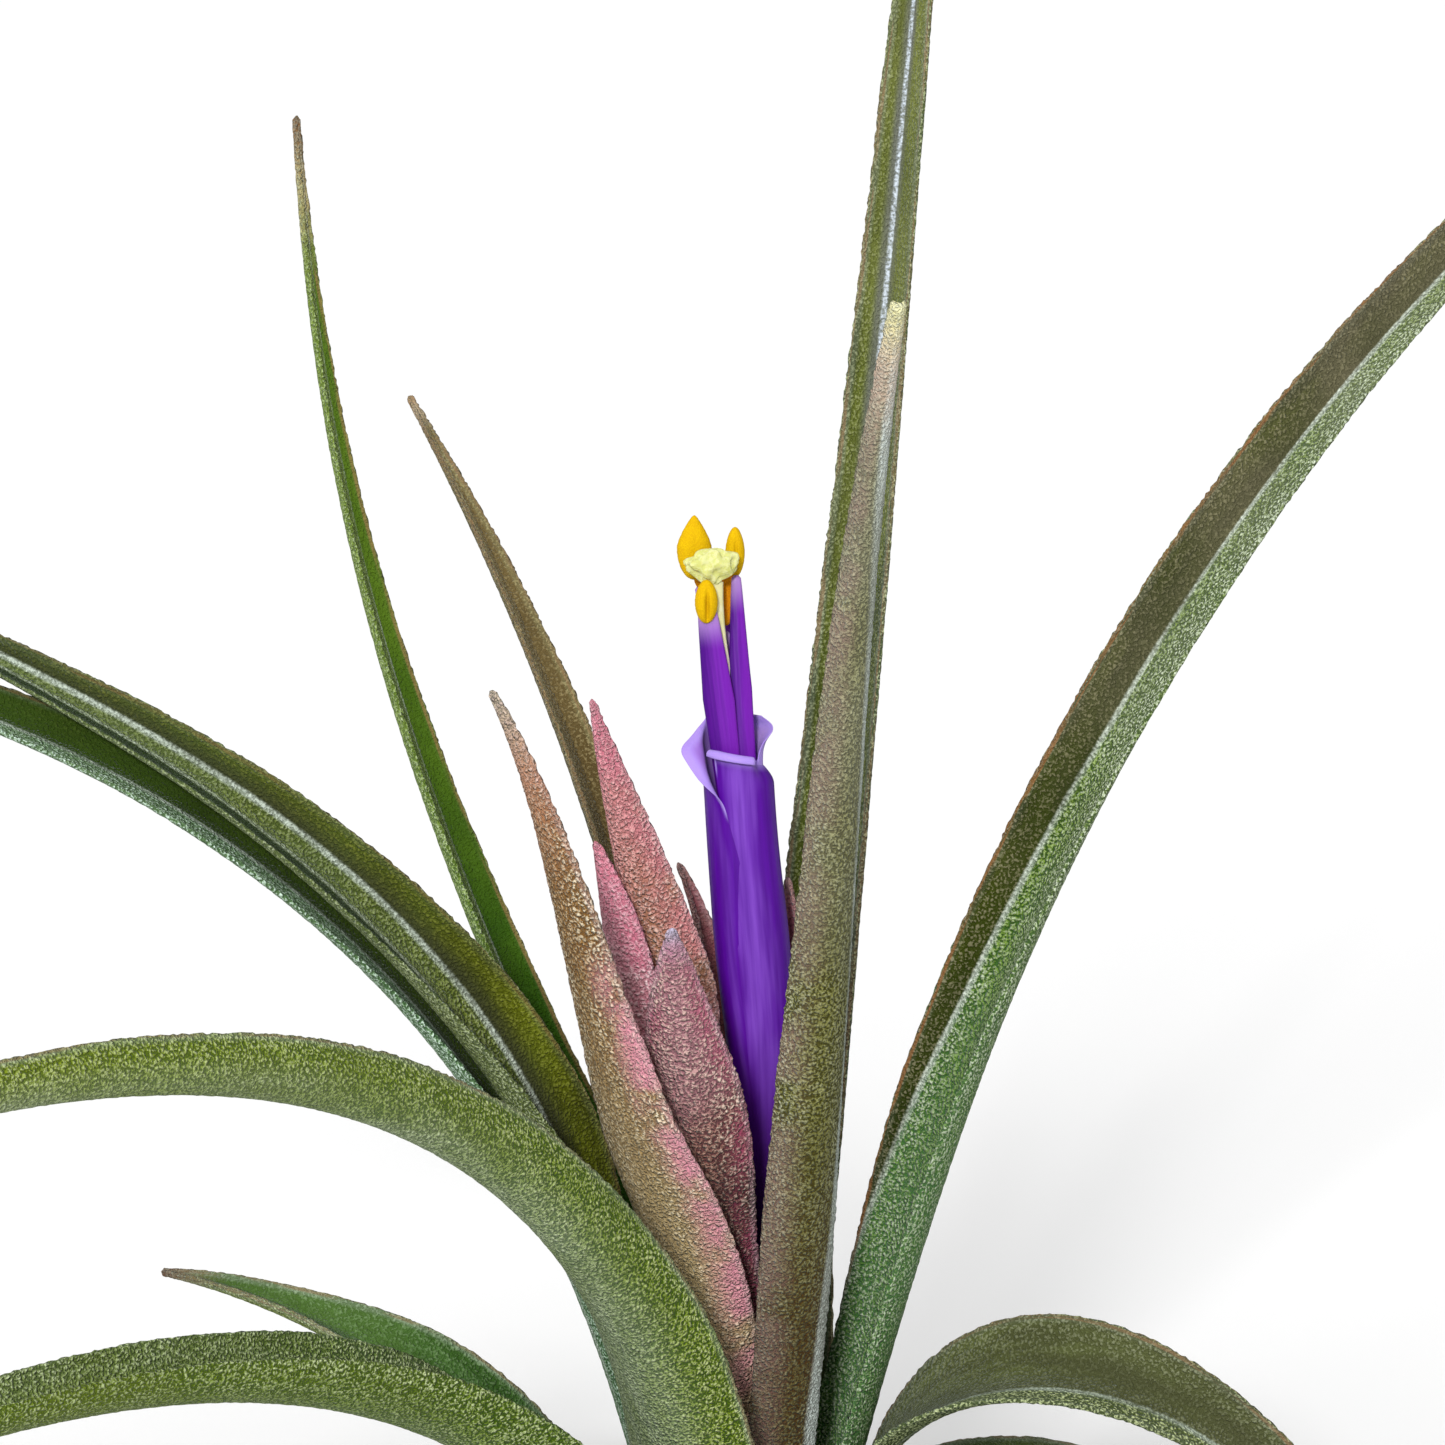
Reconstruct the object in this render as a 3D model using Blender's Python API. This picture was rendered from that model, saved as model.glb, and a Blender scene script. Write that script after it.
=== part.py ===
"""An air plant in flower: a tillandsia hybrid, as picked, standing on its own short stem.

Frame: +Z up, the origin at the middle of the stem's flat underside, +Y away from the
side on which the flower head shows. Sizes below are in millimetres and angles in
degrees; the meshes are made in metres.

Every leaf follows one formula. Its rib leaves the stem with four "rise" angles above
the horizontal and three "heading" angles round the plant (0 right, 90 back, 180 left,
270 front), each blended along its length. Its cross-section opens from a sheath that is
concentric with the plant to a channelled blade that tapers to the tip.
"""

import math
from dataclasses import dataclass

import bmesh
import bpy
import numpy as np

MM = 0.001
COLLECTION = "tillandsia_hybrid"

# The stack of sheaths round the stem
INNER_SEAT_RADIUS = 2.9
SEAT_PITCH = 0.93
INNER_SEAT_HEIGHT = 15.5
SEAT_DROP = 1.75
SHEATH_THICKNESS = 0.62
SEAT_CLEARANCE = 0.34

# What all leaf blades share
SECTION_SPACING = 6.6
FEWEST_SECTIONS = 16
LEAF_COLUMNS = 5
EDGE_LEAST = 0.6
EDGE_THINNING = 0.55
TIP_THINNING = 0.45
TIP_HALF_WIDTH = 0.25
KEEL_SHARPNESS = 0.45
RIB_STEPS = 96

# Stem and flower stalk: middle of each round section and its radius
FOOT_RADIUS = 9.6
FOOT_HEIGHT = 1.5
STALK = (
    (-0.05, 0.0, 16.0, 1.75),
    (-0.4, 0.0, 20.0, 1.6),
    (-1.6, 0.0, 27.0, 1.3),
    (-3.6, 0.0, 34.0, 1.1),
    (-4.4, 0.0, 37.0, 0.9),
)
STEM_SIDES = 16

# Flower tube: middle of the tube and its outer radius
TUBE = (
    (0.15, -0.3, 31.7, 1.2),
    (0.05, -0.3, 39.6, 1.9),
    (-0.25, -0.3, 49.0, 2.5),
    (-0.85, -0.3, 56.2, 2.8),
    (-1.5, -0.3, 63.3, 2.6),
    (-1.85, -0.3, 69.4, 2.6),
)
PETAL_THICKNESS = 0.6
PETAL_STEP = 0.35
PETAL_HALF_ANGLE = 72.0
PETAL_TUBE_SECTIONS = 12
PETAL_LOBE_SECTIONS = 6
PETAL_COLUMNS = 7

# Stamens and pistil
BUNDLE_FOOT = (-0.12, -0.3, 45.0)
BUNDLE_ROOT_RADIUS = 0.95
BUNDLE_ROOT_HEIGHT = 2.5
BUNDLE_WAIST = (-1.45, -0.3, 63.0)
BUNDLE_MOUTH = (-2.1, -0.3, 70.3)
FILAMENT_THICKNESS = 0.6
ANTHER_GAP = 0.3
TOP_PINCH = 0.25


@dataclass(frozen=True)
class Leaf:
    """One leaf or bract. A seat counts sheaths outwards; a foot is a place on the stalk."""

    name: str
    rise: tuple
    heading: tuple
    length: float
    sheath: float
    blade: float
    fold: float = 60.0
    twist: float = 0.0
    taper: float = 1.0
    thickness: float = 1.3
    sheath_length: float = 24.0
    seat: float = 0.0
    foot: tuple = ()
    radius: float = 0.0
    colour: tuple = (0.20, 0.25, 0.12)


GREEN = (0.20, 0.27, 0.11)
SILVER = (0.27, 0.30, 0.19)
OLIVE = (0.24, 0.22, 0.13)
PINK = (0.55, 0.25, 0.24)
ROSE = (0.47, 0.27, 0.21)

LEAVES = (
    Leaf("leaf_tall_back", (81, 72, 83, 70), (62, 65, 69), 167, 3.2, 4.2, 62, 1, seat=0, colour=OLIVE),
    Leaf("leaf_front_right", (75, 69, 100, 59), (282, 311, 280), 93, 3.4, 4.5, 57, -1, 1.1,
         seat=1.15, colour=OLIVE),
    Leaf("leaf_behind_spike", (82, 66, 50, 26), (119, 131, 111), 97, 4.0, 4.4, 63, -1, seat=1,
         colour=OLIVE),
    Leaf("leaf_tall_left", (76, 34, 75, 86), (141, 134, 140), 111, 3.8, 3.8, 62, seat=2, colour=GREEN),
    Leaf("leaf_long_right", (75, 78, 22, 28), (11, 28, 28), 168, 5.0, 7.0, 57, 45, seat=2,
         colour=SILVER),
    Leaf("leaf_long_left", (73, 91, -13, 38), (196, 181, 144), 113, 4.0, 7.2, 69, -47, 1.07, 1.0,
         seat=3, colour=GREEN),
    Leaf("leaf_back_steep", (76, 60, 26, 8), (84, 86, 88), 80, 4.0, 4.6, seat=3, colour=SILVER),
    Leaf("leaf_under_left", (77, 80, -25, 25), (190, 175, 160), 133, 4.0, 5.6, 45, -35, 1.1, seat=4,
         colour=SILVER),
    Leaf("leaf_low_right", (109, 26, -108, -32), (-20, -11, 2), 72, 4.6, 6.8, 50, 66, 0.94, seat=5,
         colour=SILVER),
    Leaf("leaf_arch_left", (73, 53, -49, -4), (244, 223, 191), 146, 5.5, 7.2, 89, 30, seat=5,
         colour=SILVER),
    Leaf("leaf_back_arch", (62, -22, -32, -24), (104, 101, 95), 78, 5.0, 5.0, seat=5, colour=SILVER),
    Leaf("leaf_short_left", (68, 41, 20, -2), (170, 175, 137), 49, 5.0, 6.2, 64, -18, 1.1, seat=6,
         colour=GREEN),
    Leaf("leaf_low_left", (70, 17, -31, -15), (223, 222, 192), 114, 7.0, 7.6, 80, -10, seat=7,
         colour=SILVER),
)

# The lowest leaves bow down to the surface all round: name, seat, heading and length
FLOOR_LEAVES = (
    ("leaf_floor_back_right", 6, 52.0, 77.0),
    ("leaf_floor_front_right", 6, 292.0, 64.0),
    ("leaf_floor_right", 7, 335.0, 70.0),
    ("leaf_floor_back", 7, 98.0, 80.0),
    ("leaf_floor_front", 8, 262.0, 73.0),
    ("leaf_floor_back_left", 8, 150.0, 77.0),
    ("leaf_floor_right_back", 8, 22.0, 69.0),
)
FLOOR_RISE = (48.0, -24.0, -22.0, -1.0)
FLOOR_RISE_PER_SEAT_HEIGHT = -3.3
FLOOR_HEADING_SWEEP = -7.0
FLOOR_SHEATH = 5.4
FLOOR_SHEATH_PER_SEAT = 0.5
FLOOR_BLADE = 5.3
FLOOR_FOLD = 61.0

BRACT = dict(thickness=0.6, sheath_length=14.0)
BRACTS = (
    Leaf("bract_leafy", (80, 43, 93, 65), (236, 225, 174), 64, 3.0, 11.1, 21, 3, 0.72, 1.0, 20.0,
         seat=-0.35, colour=ROSE),
    Leaf("bract_front", (64, 58, 76, 71), (249, 238, 263), 34, 2.4, 5.1, 38, 11, 2.5,
         foot=(-1.8, -2.6, 29.0), radius=3.0, colour=PINK, **BRACT),
    Leaf("bract_top", (83, 83, 72, 83), (197, 203, 210), 42, 2.6, 7.8, 85, 2, 1.7,
         foot=(-5.6, -0.4, 33.0), radius=2.2, colour=PINK, **BRACT),
    Leaf("bract_left", (69, 88, 83, 79), (205, 208, 215), 30, 1.8, 4.1, 49, 1, 2.2,
         foot=(-7.2, -1.2, 35.0), radius=3.4, colour=PINK, **BRACT),
    Leaf("bract_behind", (80, 82, 85, 63), (90, 140, 149), 28, 2.0, 2.7, 61, -1, 2.2,
         foot=(-2.4, 2.3, 34.0), radius=2.4, colour=ROSE, **BRACT),
    Leaf("bract_right", (86, 85, 93, 102), (51, 50, 50), 31, 2.4, 2.8, 48, 1, 2.2,
         foot=(2.2, 3.2, 30.0), radius=3.4, colour=ROSE, **BRACT),
)


@dataclass(frozen=True)
class Petal:
    """One petal. Its lobe is the length above the tube's mouth, and leans outwards.

    It narrows from a height below the mouth to the angles it spans at its tip, to the
    side of lesser headings (before) and of greater headings (after).
    """

    heading: float
    lobe: float
    lean: float
    tip_before: float
    tip_after: float
    free_before: float = 0.0
    free_after: float = 0.0


PETALS = (
    Petal(185.0, 2.9, 52.0, 24.0, 3.0, free_after=7.0),
    Petal(305.0, 1.5, 125.0, 60.0, 62.0),
    Petal(65.0, 3.3, 40.0, 30.0, 6.0),
)


@dataclass(frozen=True)
class Stamen:
    """One stamen: its place in the bundle at the tube's mouth, its width, and its anther."""

    offset: tuple
    width: float
    anther: tuple
    anther_radii: tuple


STAMENS = (
    Stamen((-0.6, -0.8), 1.6, (-4.1, -1.55, 81.0), (0.75, 0.6, 1.5)),
    Stamen((0.75, -0.75), 1.2, (-2.1, 0.75, 84.3), (0.7, 0.65, 1.75)),
    Stamen((-1.05, 0.15), 0.9, (-4.95, 0.9, 84.6), (1.2, 0.7, 2.2)),
    Stamen((0.95, 0.2), 0.8, (-2.75, 1.35, 80.4), (0.5, 0.5, 1.4)),
    Stamen((-0.5, 0.8), 1.2, (-4.3, 2.5, 83.0), (0.8, 0.6, 1.8)),
    Stamen((0.55, 0.8), 1.2, (-2.6, 2.95, 83.6), (0.7, 0.6, 1.7)),
)

# The style's round sections, as middle and radius, and the stigma's lobes, as middle and radii
STYLE = (
    (-1.9, -0.3, 67.5, 0.3),
    (-2.65, -0.25, 75.3, 0.35),
    (-3.2, -0.45, 79.4, 0.42),
    (-3.7, -0.7, 82.6, 0.5),
)
STIGMA_LOBES = (
    ((-4.75, -0.75, 83.4), (0.85, 0.6, 0.95)),
    ((-3.75, -0.95, 83.7), (0.9, 0.65, 1.25)),
    ((-2.85, -0.75, 83.3), (0.75, 0.6, 0.9)),
)

PURPLE = (0.11, 0.02, 0.38)
YELLOW = (0.90, 0.52, 0.02)
PALE_YELLOW = (0.80, 0.80, 0.35)
BROWN = (0.20, 0.13, 0.07)


def blend(keys, along):
    """The keys blended smoothly along 0 to 1, starting on the first and ending on the last."""
    order = len(keys) - 1
    along = np.asarray(along, dtype=float)
    return sum(
        math.comb(order, i) * along**i * (1.0 - along) ** (order - i) * key for i, key in enumerate(keys)
    )


def ease(along):
    """0 to 1 with a level start and end."""
    along = min(max(along, 0.0), 1.0)
    return along * along * (3.0 - 2.0 * along)


def heading_vectors(rise, heading):
    """The direction of growth and the sideways direction for angles in radians."""
    growth = (math.cos(rise) * math.cos(heading), math.cos(rise) * math.sin(heading), math.sin(rise))
    sideways = (-math.sin(heading), math.cos(heading), 0.0)
    return np.array(growth), np.array(sideways)


def seat_radius(seat):
    return INNER_SEAT_RADIUS + SEAT_PITCH * seat


def seat_height(seat):
    return INNER_SEAT_HEIGHT - SEAT_DROP * seat


def rib_start(leaf):
    """Where the leaf's rib leaves the stem or the stalk."""
    if leaf.foot:
        return np.array(leaf.foot)
    around = math.radians(leaf.heading[0])
    radius = seat_radius(leaf.seat)
    return np.array((radius * math.cos(around), radius * math.sin(around), seat_height(leaf.seat)))


def rib_points(leaf):
    """Points along the leaf's rib, in small steps."""
    points = [rib_start(leaf)]
    for step in range(RIB_STEPS):
        middle = (step + 0.5) / RIB_STEPS
        rise = math.radians(blend(leaf.rise, middle))
        heading = math.radians(blend(leaf.heading, middle))
        growth, _ = heading_vectors(rise, heading)
        points.append(points[-1] + growth * leaf.length / RIB_STEPS)
    return np.array(points)


def channel(half_width, turn, sharpness, across):
    """A channel's cross-section: sideways and inward place and slope at each point across."""
    steps = np.linspace(0.0, 1.0, 33)
    slope = turn * steps**sharpness
    run = np.concatenate(([0.0], np.cumsum(np.cos((slope[1:] + slope[:-1]) / 2)))) * half_width / 32
    climb = np.concatenate(([0.0], np.cumsum(np.sin((slope[1:] + slope[:-1]) / 2)))) * half_width / 32
    sign = np.sign(across)
    reach = np.abs(across)
    return (
        np.interp(reach, steps, run) * sign,
        np.interp(reach, steps, climb),
        np.interp(reach, steps, slope) * sign,
    )


def leaf_section(leaf, rib, along):
    """One closed cross-section: the inner face's points, then the outer face's, back across."""
    travelled = np.linspace(0.0, 1.0, len(rib))
    centre = np.array([np.interp(along, travelled, rib[:, axis]) for axis in range(3)])
    growth, sideways = heading_vectors(
        math.radians(blend(leaf.rise, along)), math.radians(blend(leaf.heading, along))
    )
    inward = np.cross(growth, sideways)
    distance = along * leaf.length
    roll = math.radians(leaf.twist) * ease(
        (distance - 0.4 * leaf.sheath_length) / (0.45 * leaf.length)
    )
    sideways, inward = (
        sideways * math.cos(roll) + inward * math.sin(roll),
        inward * math.cos(roll) - sideways * math.sin(roll),
    )
    opened = ease((distance - 0.35 * leaf.sheath_length) / (1.3 * leaf.sheath_length))
    concentric = leaf.radius or seat_radius(leaf.seat)
    blade = leaf.blade * (1.0 - along**leaf.taper) + TIP_HALF_WIDTH * along
    half_width = leaf.sheath * (1.0 - opened) + blade * opened
    turn = leaf.sheath / concentric * (1.0 - opened) + math.radians(leaf.fold) * opened
    across = np.linspace(-1.0, 1.0, LEAF_COLUMNS)
    run, climb, slope = channel(half_width, turn, 1.0 - KEEL_SHARPNESS * opened, across)
    middle = SHEATH_THICKNESS * (1.0 - opened) + leaf.thickness * opened * (1.0 - TIP_THINNING * along)
    thickness = np.maximum(middle * (1.0 - EDGE_THINNING * opened * np.abs(across) ** 2.5), EDGE_LEAST)
    surface = centre + np.outer(run, sideways) + np.outer(climb, inward)
    normal = np.outer(-np.sin(slope), sideways) + np.outer(np.cos(slope), inward)
    inner = surface + normal * thickness[:, None] / 2
    outer = surface - normal * thickness[:, None] / 2
    section = np.concatenate((inner, outer[::-1]))
    section[:, 2] = np.maximum(section[:, 2], 0.0)
    return section


def strip_loft(sections):
    """A closed mesh through alike sections. Each has one face's points, then the other's, back.

    Both faces are split along the same diagonals, so that a thin, waved blade keeps its
    thickness.
    """
    mesh = bmesh.new()
    rows = [[mesh.verts.new(point * MM) for point in section] for section in sections]
    count = len(rows[0])
    columns = count // 2
    for near, far in zip(rows, rows[1:]):
        for i in range(count):
            j = (i + 1) % count
            if i < columns:
                mesh.faces.new((far[j], near[j], near[i]))
                mesh.faces.new((far[i], far[j], near[i]))
            else:
                mesh.faces.new((far[i], near[j], near[i]))
                mesh.faces.new((far[i], far[j], near[j]))
    for i in range(columns - 1):
        corners = (i, i + 1, count - 2 - i, count - 1 - i)
        mesh.faces.new([rows[0][k] for k in corners])
        mesh.faces.new([rows[-1][k] for k in reversed(corners)])
    return mesh


def round_loft(stations, sides):
    """A closed mesh through level circles, given as x, y, z and radius."""
    mesh = bmesh.new()
    turn = [2 * math.pi * k / sides for k in range(sides)]
    rows = []
    for x, y, z, radius in stations:
        circle = [(x + radius * math.cos(a), y + radius * math.sin(a), z) for a in turn]
        rows.append([mesh.verts.new(np.array(point) * MM) for point in circle])
    for near, far in zip(rows, rows[1:]):
        for i in range(sides):
            j = (i + 1) % sides
            mesh.faces.new((near[i], near[j], far[j], far[i]))
    mesh.faces.new(rows[0][::-1])
    mesh.faces.new(rows[-1])
    bmesh.ops.recalc_face_normals(mesh, faces=mesh.faces)
    return mesh


def material(name, colour, roughness):
    made = bpy.data.materials.new(name)
    made.use_nodes = True
    shader = made.node_tree.nodes["Principled BSDF"]
    shader.inputs["Base Color"].default_value = (*colour, 1.0)
    shader.inputs["Roughness"].default_value = roughness
    made.diffuse_color = (*colour, 1.0)
    return made


def object_from(name, mesh, collection):
    data = bpy.data.meshes.new(name)
    mesh.to_mesh(data)
    mesh.free()
    made = bpy.data.objects.new(name, data)
    collection.objects.link(made)
    return made


def finish(made, colour, roughness):
    """Gives a finished object its own material, and smooth faces between its sharp edges."""
    made.data.shade_smooth()
    made.data.set_sharp_from_angle(angle=math.radians(50.0))
    made.data.materials.append(material(made.name, colour, roughness))


def place(name, mesh, collection, colour, roughness=0.6):
    """Makes a mesh that needs no more work a named object with its own material."""
    finish(object_from(name, mesh, collection), colour, roughness)


def unite(name, meshes, collection, colour, roughness):
    """Joins meshes that overlap into one body with a Boolean union, and places it."""
    first = object_from(name, meshes[0], collection)
    others = bpy.data.collections.new(name + "_pieces")
    bpy.context.scene.collection.children.link(others)
    pieces = [object_from(f"{name}_piece_{i}", mesh, others) for i, mesh in enumerate(meshes[1:])]
    union = first.modifiers.new("union", "BOOLEAN")
    union.operation = "UNION"
    union.operand_type = "COLLECTION"
    union.collection = others
    union.solver = "EXACT"
    bpy.context.view_layer.update()
    graph = bpy.context.evaluated_depsgraph_get()
    joined = bpy.data.meshes.new_from_object(first.evaluated_get(graph))
    first.modifiers.clear()
    first.data = joined
    for piece in pieces:
        bpy.data.objects.remove(piece)
    bpy.data.collections.remove(others)
    finish(first, colour, roughness)


def floor_leaf(name, seat, heading, length):
    """A leaf that leaves the stem low down and comes to rest on the surface."""
    start, bend, reach, tip = FLOOR_RISE
    bend += FLOOR_RISE_PER_SEAT_HEIGHT * seat_height(seat)
    return Leaf(
        name=name,
        rise=(start, bend, reach, tip),
        heading=(heading, heading + FLOOR_HEADING_SWEEP / 3, heading + FLOOR_HEADING_SWEEP),
        length=length,
        sheath=FLOOR_SHEATH + FLOOR_SHEATH_PER_SEAT * (seat - FLOOR_LEAVES[0][1]),
        blade=FLOOR_BLADE,
        fold=FLOOR_FOLD,
        seat=seat,
        colour=SILVER,
    )


def make_leaf(leaf, collection):
    rib = rib_points(leaf)
    count = max(FEWEST_SECTIONS, round(leaf.length / SECTION_SPACING))
    sections = [leaf_section(leaf, rib, along) for along in np.linspace(0.0, 1.0, count)]
    place(leaf.name, strip_loft(sections), collection, leaf.colour)


def make_stem(collection):
    """The short cone that the leaves sit round, running up into the flower stalk."""
    top = STALK[0][2]
    cone = []
    for height in np.linspace(FOOT_HEIGHT, top, 4)[:-1]:
        seat = (INNER_SEAT_HEIGHT - height) / SEAT_DROP
        radius = seat_radius(seat) - SHEATH_THICKNESS / 2 - SEAT_CLEARANCE
        cone.append((0.0, 0.0, height, min(radius, FOOT_RADIUS)))
    stations = [(0.0, 0.0, 0.0, FOOT_RADIUS - 0.5), (0.0, 0.0, 0.5, FOOT_RADIUS)] + cone + list(STALK)
    place("stem", round_loft(stations, STEM_SIDES), collection, BROWN, 0.85)


def tube_at(along):
    """Middle and outer radius of the flower tube, 0 at its foot and 1 at its mouth."""
    stations = np.array(TUBE)
    travelled = np.linspace(0.0, 1.0, len(stations))
    return np.array([np.interp(along, travelled, stations[:, k]) for k in range(4)])


def petal_section(petal, station, before, after, lean):
    """One petal's cross-section round a station, over the given angles each side of its middle."""
    middle, outer_radius = station[:3], station[3]
    across = np.linspace(-1.0, 1.0, PETAL_COLUMNS)
    around = math.radians(petal.heading) + np.radians(np.where(across < 0, before, after)) * across
    radius = outer_radius - PETAL_THICKNESS / 2 - PETAL_STEP * (1.0 - across) / 2
    outward = np.stack((np.cos(around), np.sin(around), np.zeros(PETAL_COLUMNS)), axis=1)
    upward = np.array((0.0, 0.0, 1.0))
    normal = outward * math.cos(lean) - upward * math.sin(lean)
    surface = middle + outward * radius[:, None]
    inner = surface - normal * PETAL_THICKNESS / 2
    outer = surface + normal * PETAL_THICKNESS / 2
    return np.concatenate((inner, outer[::-1]))


def narrowed(above_mouth, free, lobe, tip_angle):
    """The angle that a petal spans at a height over the mouth, from full to that of its tip."""
    freed = max(0.0, (above_mouth + free) / (lobe + free))
    return PETAL_HALF_ANGLE + (tip_angle - PETAL_HALF_ANGLE) * freed**1.2


def petal_sections(petal):
    """The petal from the foot of the tube to the tip of its spreading lobe."""
    mouth = TUBE[-1][2]
    tube = [(tube_at(along), 0.0) for along in np.linspace(0.0, 1.0, PETAL_TUBE_SECTIONS)]
    lobe = []
    station = tube_at(1.0)
    step = petal.lobe / PETAL_LOBE_SECTIONS
    for k in range(1, PETAL_LOBE_SECTIONS + 1):
        lean = math.radians(petal.lean) * ease(1.2 * k / PETAL_LOBE_SECTIONS)
        station = station + np.array((0.0, 0.0, step * math.cos(lean), step * math.sin(lean)))
        lobe.append((station, lean))
    sections = []
    for number, (station, lean) in enumerate(tube + lobe, start=1):
        above = station[2] - mouth if number <= len(tube) else (number - len(tube)) * step
        before = narrowed(above, petal.free_before, petal.lobe, petal.tip_before)
        after = narrowed(above, petal.free_after, petal.lobe, petal.tip_after)
        sections.append(petal_section(petal, station, before, after, lean))
    return sections


def make_corolla(collection):
    """Three petals rolled into a tube, each with one edge over its neighbour."""
    meshes = [strip_loft(petal_sections(petal)) for petal in PETALS]
    unite("corolla", meshes, collection, PURPLE, 0.35)


def ribbon_section(middle, width, thickness, facing):
    """A flat oval section of six points, its broad side turned to the heading it faces."""
    sideways = np.array((-math.sin(facing), math.cos(facing), 0.0)) * width / 2
    outward = np.array((math.cos(facing), math.sin(facing), 0.0)) * thickness / 2
    inner = [middle - sideways - outward, middle - outward * 1.2, middle + sideways - outward]
    outer = [middle + sideways + outward, middle + outward * 1.2, middle - sideways + outward]
    return np.array(inner + outer)


def filament_sections(stamen):
    """A filament from the root of the bundle, through the tube's mouth, to its anther."""
    offset = np.array((*stamen.offset, 0.0))
    facing = math.atan2(stamen.offset[1], stamen.offset[0])
    tip = np.array(stamen.anther) - (0.0, 0.0, stamen.anther_radii[2] + ANTHER_GAP)
    route = np.array((
        np.array(BUNDLE_FOOT) + offset * 0.45,
        np.array(BUNDLE_WAIST) + offset * 0.85,
        np.array(BUNDLE_MOUTH) + offset,
        tip,
    ))
    widths = (stamen.width * 0.55, stamen.width * 0.75, stamen.width, stamen.width * 0.45)
    sections = []
    for along in np.linspace(0.0, 3.0, 10):
        middle = np.array([np.interp(along, range(4), route[:, axis]) for axis in range(3)])
        width = float(np.interp(along, range(4), widths))
        sections.append(ribbon_section(middle, max(width, EDGE_LEAST), FILAMENT_THICKNESS, facing))
    return sections


def make_stamens(collection):
    """Six flat filaments, joined at their root, and an anther over each."""
    x, y, z = BUNDLE_FOOT
    root = [(x, y, z - BUNDLE_ROOT_HEIGHT, BUNDLE_ROOT_RADIUS), (x, y, z + 0.8, BUNDLE_ROOT_RADIUS)]
    meshes = [round_loft(root, 12)] + [strip_loft(filament_sections(stamen)) for stamen in STAMENS]
    unite("filaments", meshes, collection, PURPLE, 0.4)
    for number, stamen in enumerate(STAMENS, start=1):
        place(f"anther_{number}", ellipsoid(stamen.anther, stamen.anther_radii), collection, YELLOW, 0.7)


def ellipsoid(middle, radii):
    """A rounded body that comes to a blunt point at its top."""
    mesh = bmesh.new()
    bmesh.ops.create_uvsphere(mesh, u_segments=10, v_segments=7, radius=1.0)
    for vert in mesh.verts:
        pinch = 1.0 - TOP_PINCH * max(vert.co.z, 0.0)
        vert.co.x = (middle[0] + radii[0] * pinch * vert.co.x) * MM
        vert.co.y = (middle[1] + radii[1] * pinch * vert.co.y) * MM
        vert.co.z = (middle[2] + radii[2] * vert.co.z) * MM
    return mesh


def make_pistil(collection):
    """The style, and the three lobes of the stigma at its top."""
    meshes = [round_loft(STYLE, 8)] + [ellipsoid(middle, radii) for middle, radii in STIGMA_LOBES]
    unite("pistil", meshes, collection, PALE_YELLOW, 0.7)


def clear_scene():
    for old in list(bpy.data.objects):
        bpy.data.objects.remove(old)


def main():
    clear_scene()
    collection = bpy.data.collections.new(COLLECTION)
    bpy.context.scene.collection.children.link(collection)
    make_stem(collection)
    for leaf in LEAVES + BRACTS + tuple(floor_leaf(*row) for row in FLOOR_LEAVES):
        make_leaf(leaf, collection)
    make_corolla(collection)
    make_stamens(collection)
    make_pistil(collection)


main()
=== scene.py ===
"""Dresses the air plant in flower: leaves, bracts, flower, stem, and the studio round them.

Everything is in metres in the part's own frame: the plant stands on the floor at z = 0 and
the flower head shows from the side of -Y. The plant's own sizes below are in millimetres,
and its angles in degrees: 0 right, 90 back, 180 left and 270 front.
"""

import logging
import math
from dataclasses import dataclass, field
from enum import Enum

import bpy
import numpy as np
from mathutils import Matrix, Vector


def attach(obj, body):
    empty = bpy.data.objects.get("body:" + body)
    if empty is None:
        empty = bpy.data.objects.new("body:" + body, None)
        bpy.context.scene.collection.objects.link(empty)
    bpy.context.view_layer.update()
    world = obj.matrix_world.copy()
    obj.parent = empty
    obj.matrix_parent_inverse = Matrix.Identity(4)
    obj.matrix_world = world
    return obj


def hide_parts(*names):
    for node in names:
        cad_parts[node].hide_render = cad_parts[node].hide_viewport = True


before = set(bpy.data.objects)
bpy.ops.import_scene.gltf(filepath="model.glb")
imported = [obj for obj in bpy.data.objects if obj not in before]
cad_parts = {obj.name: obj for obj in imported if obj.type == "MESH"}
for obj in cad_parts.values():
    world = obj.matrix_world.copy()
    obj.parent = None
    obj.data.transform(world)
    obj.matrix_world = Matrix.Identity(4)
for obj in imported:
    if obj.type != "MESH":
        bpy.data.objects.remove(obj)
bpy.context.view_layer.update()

MM = 0.001
BODY = "root"
LOG = logging.getLogger("tillandsia")

Colour = tuple[int, int, int]

STRENGTH = 0.93


def linear(colour: Colour) -> tuple[float, float, float, float]:
    """The linear light of a colour.

    Args:
        colour: red, green and blue from 0 to 255, as a screen shows them.

    Returns:
        The same colour in linear light, with an alpha of 1.
    """
    channels = [c / 255.0 for c in colour]
    light = [c / 12.92 if c <= 0.04045 else ((c + 0.055) / 1.055) ** 2.4 for c in channels]
    return (light[0] * STRENGTH, light[1] * STRENGTH, light[2] * STRENGTH, 1.0)


def ease(along: np.ndarray) -> np.ndarray:
    """0 to 1 with a level start and end.

    Args:
        along: values that run from 0 to 1, held to that range.

    Returns:
        The eased values.
    """
    held = np.clip(along, 0.0, 1.0)
    return held * held * (3.0 - 2.0 * held)


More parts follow.
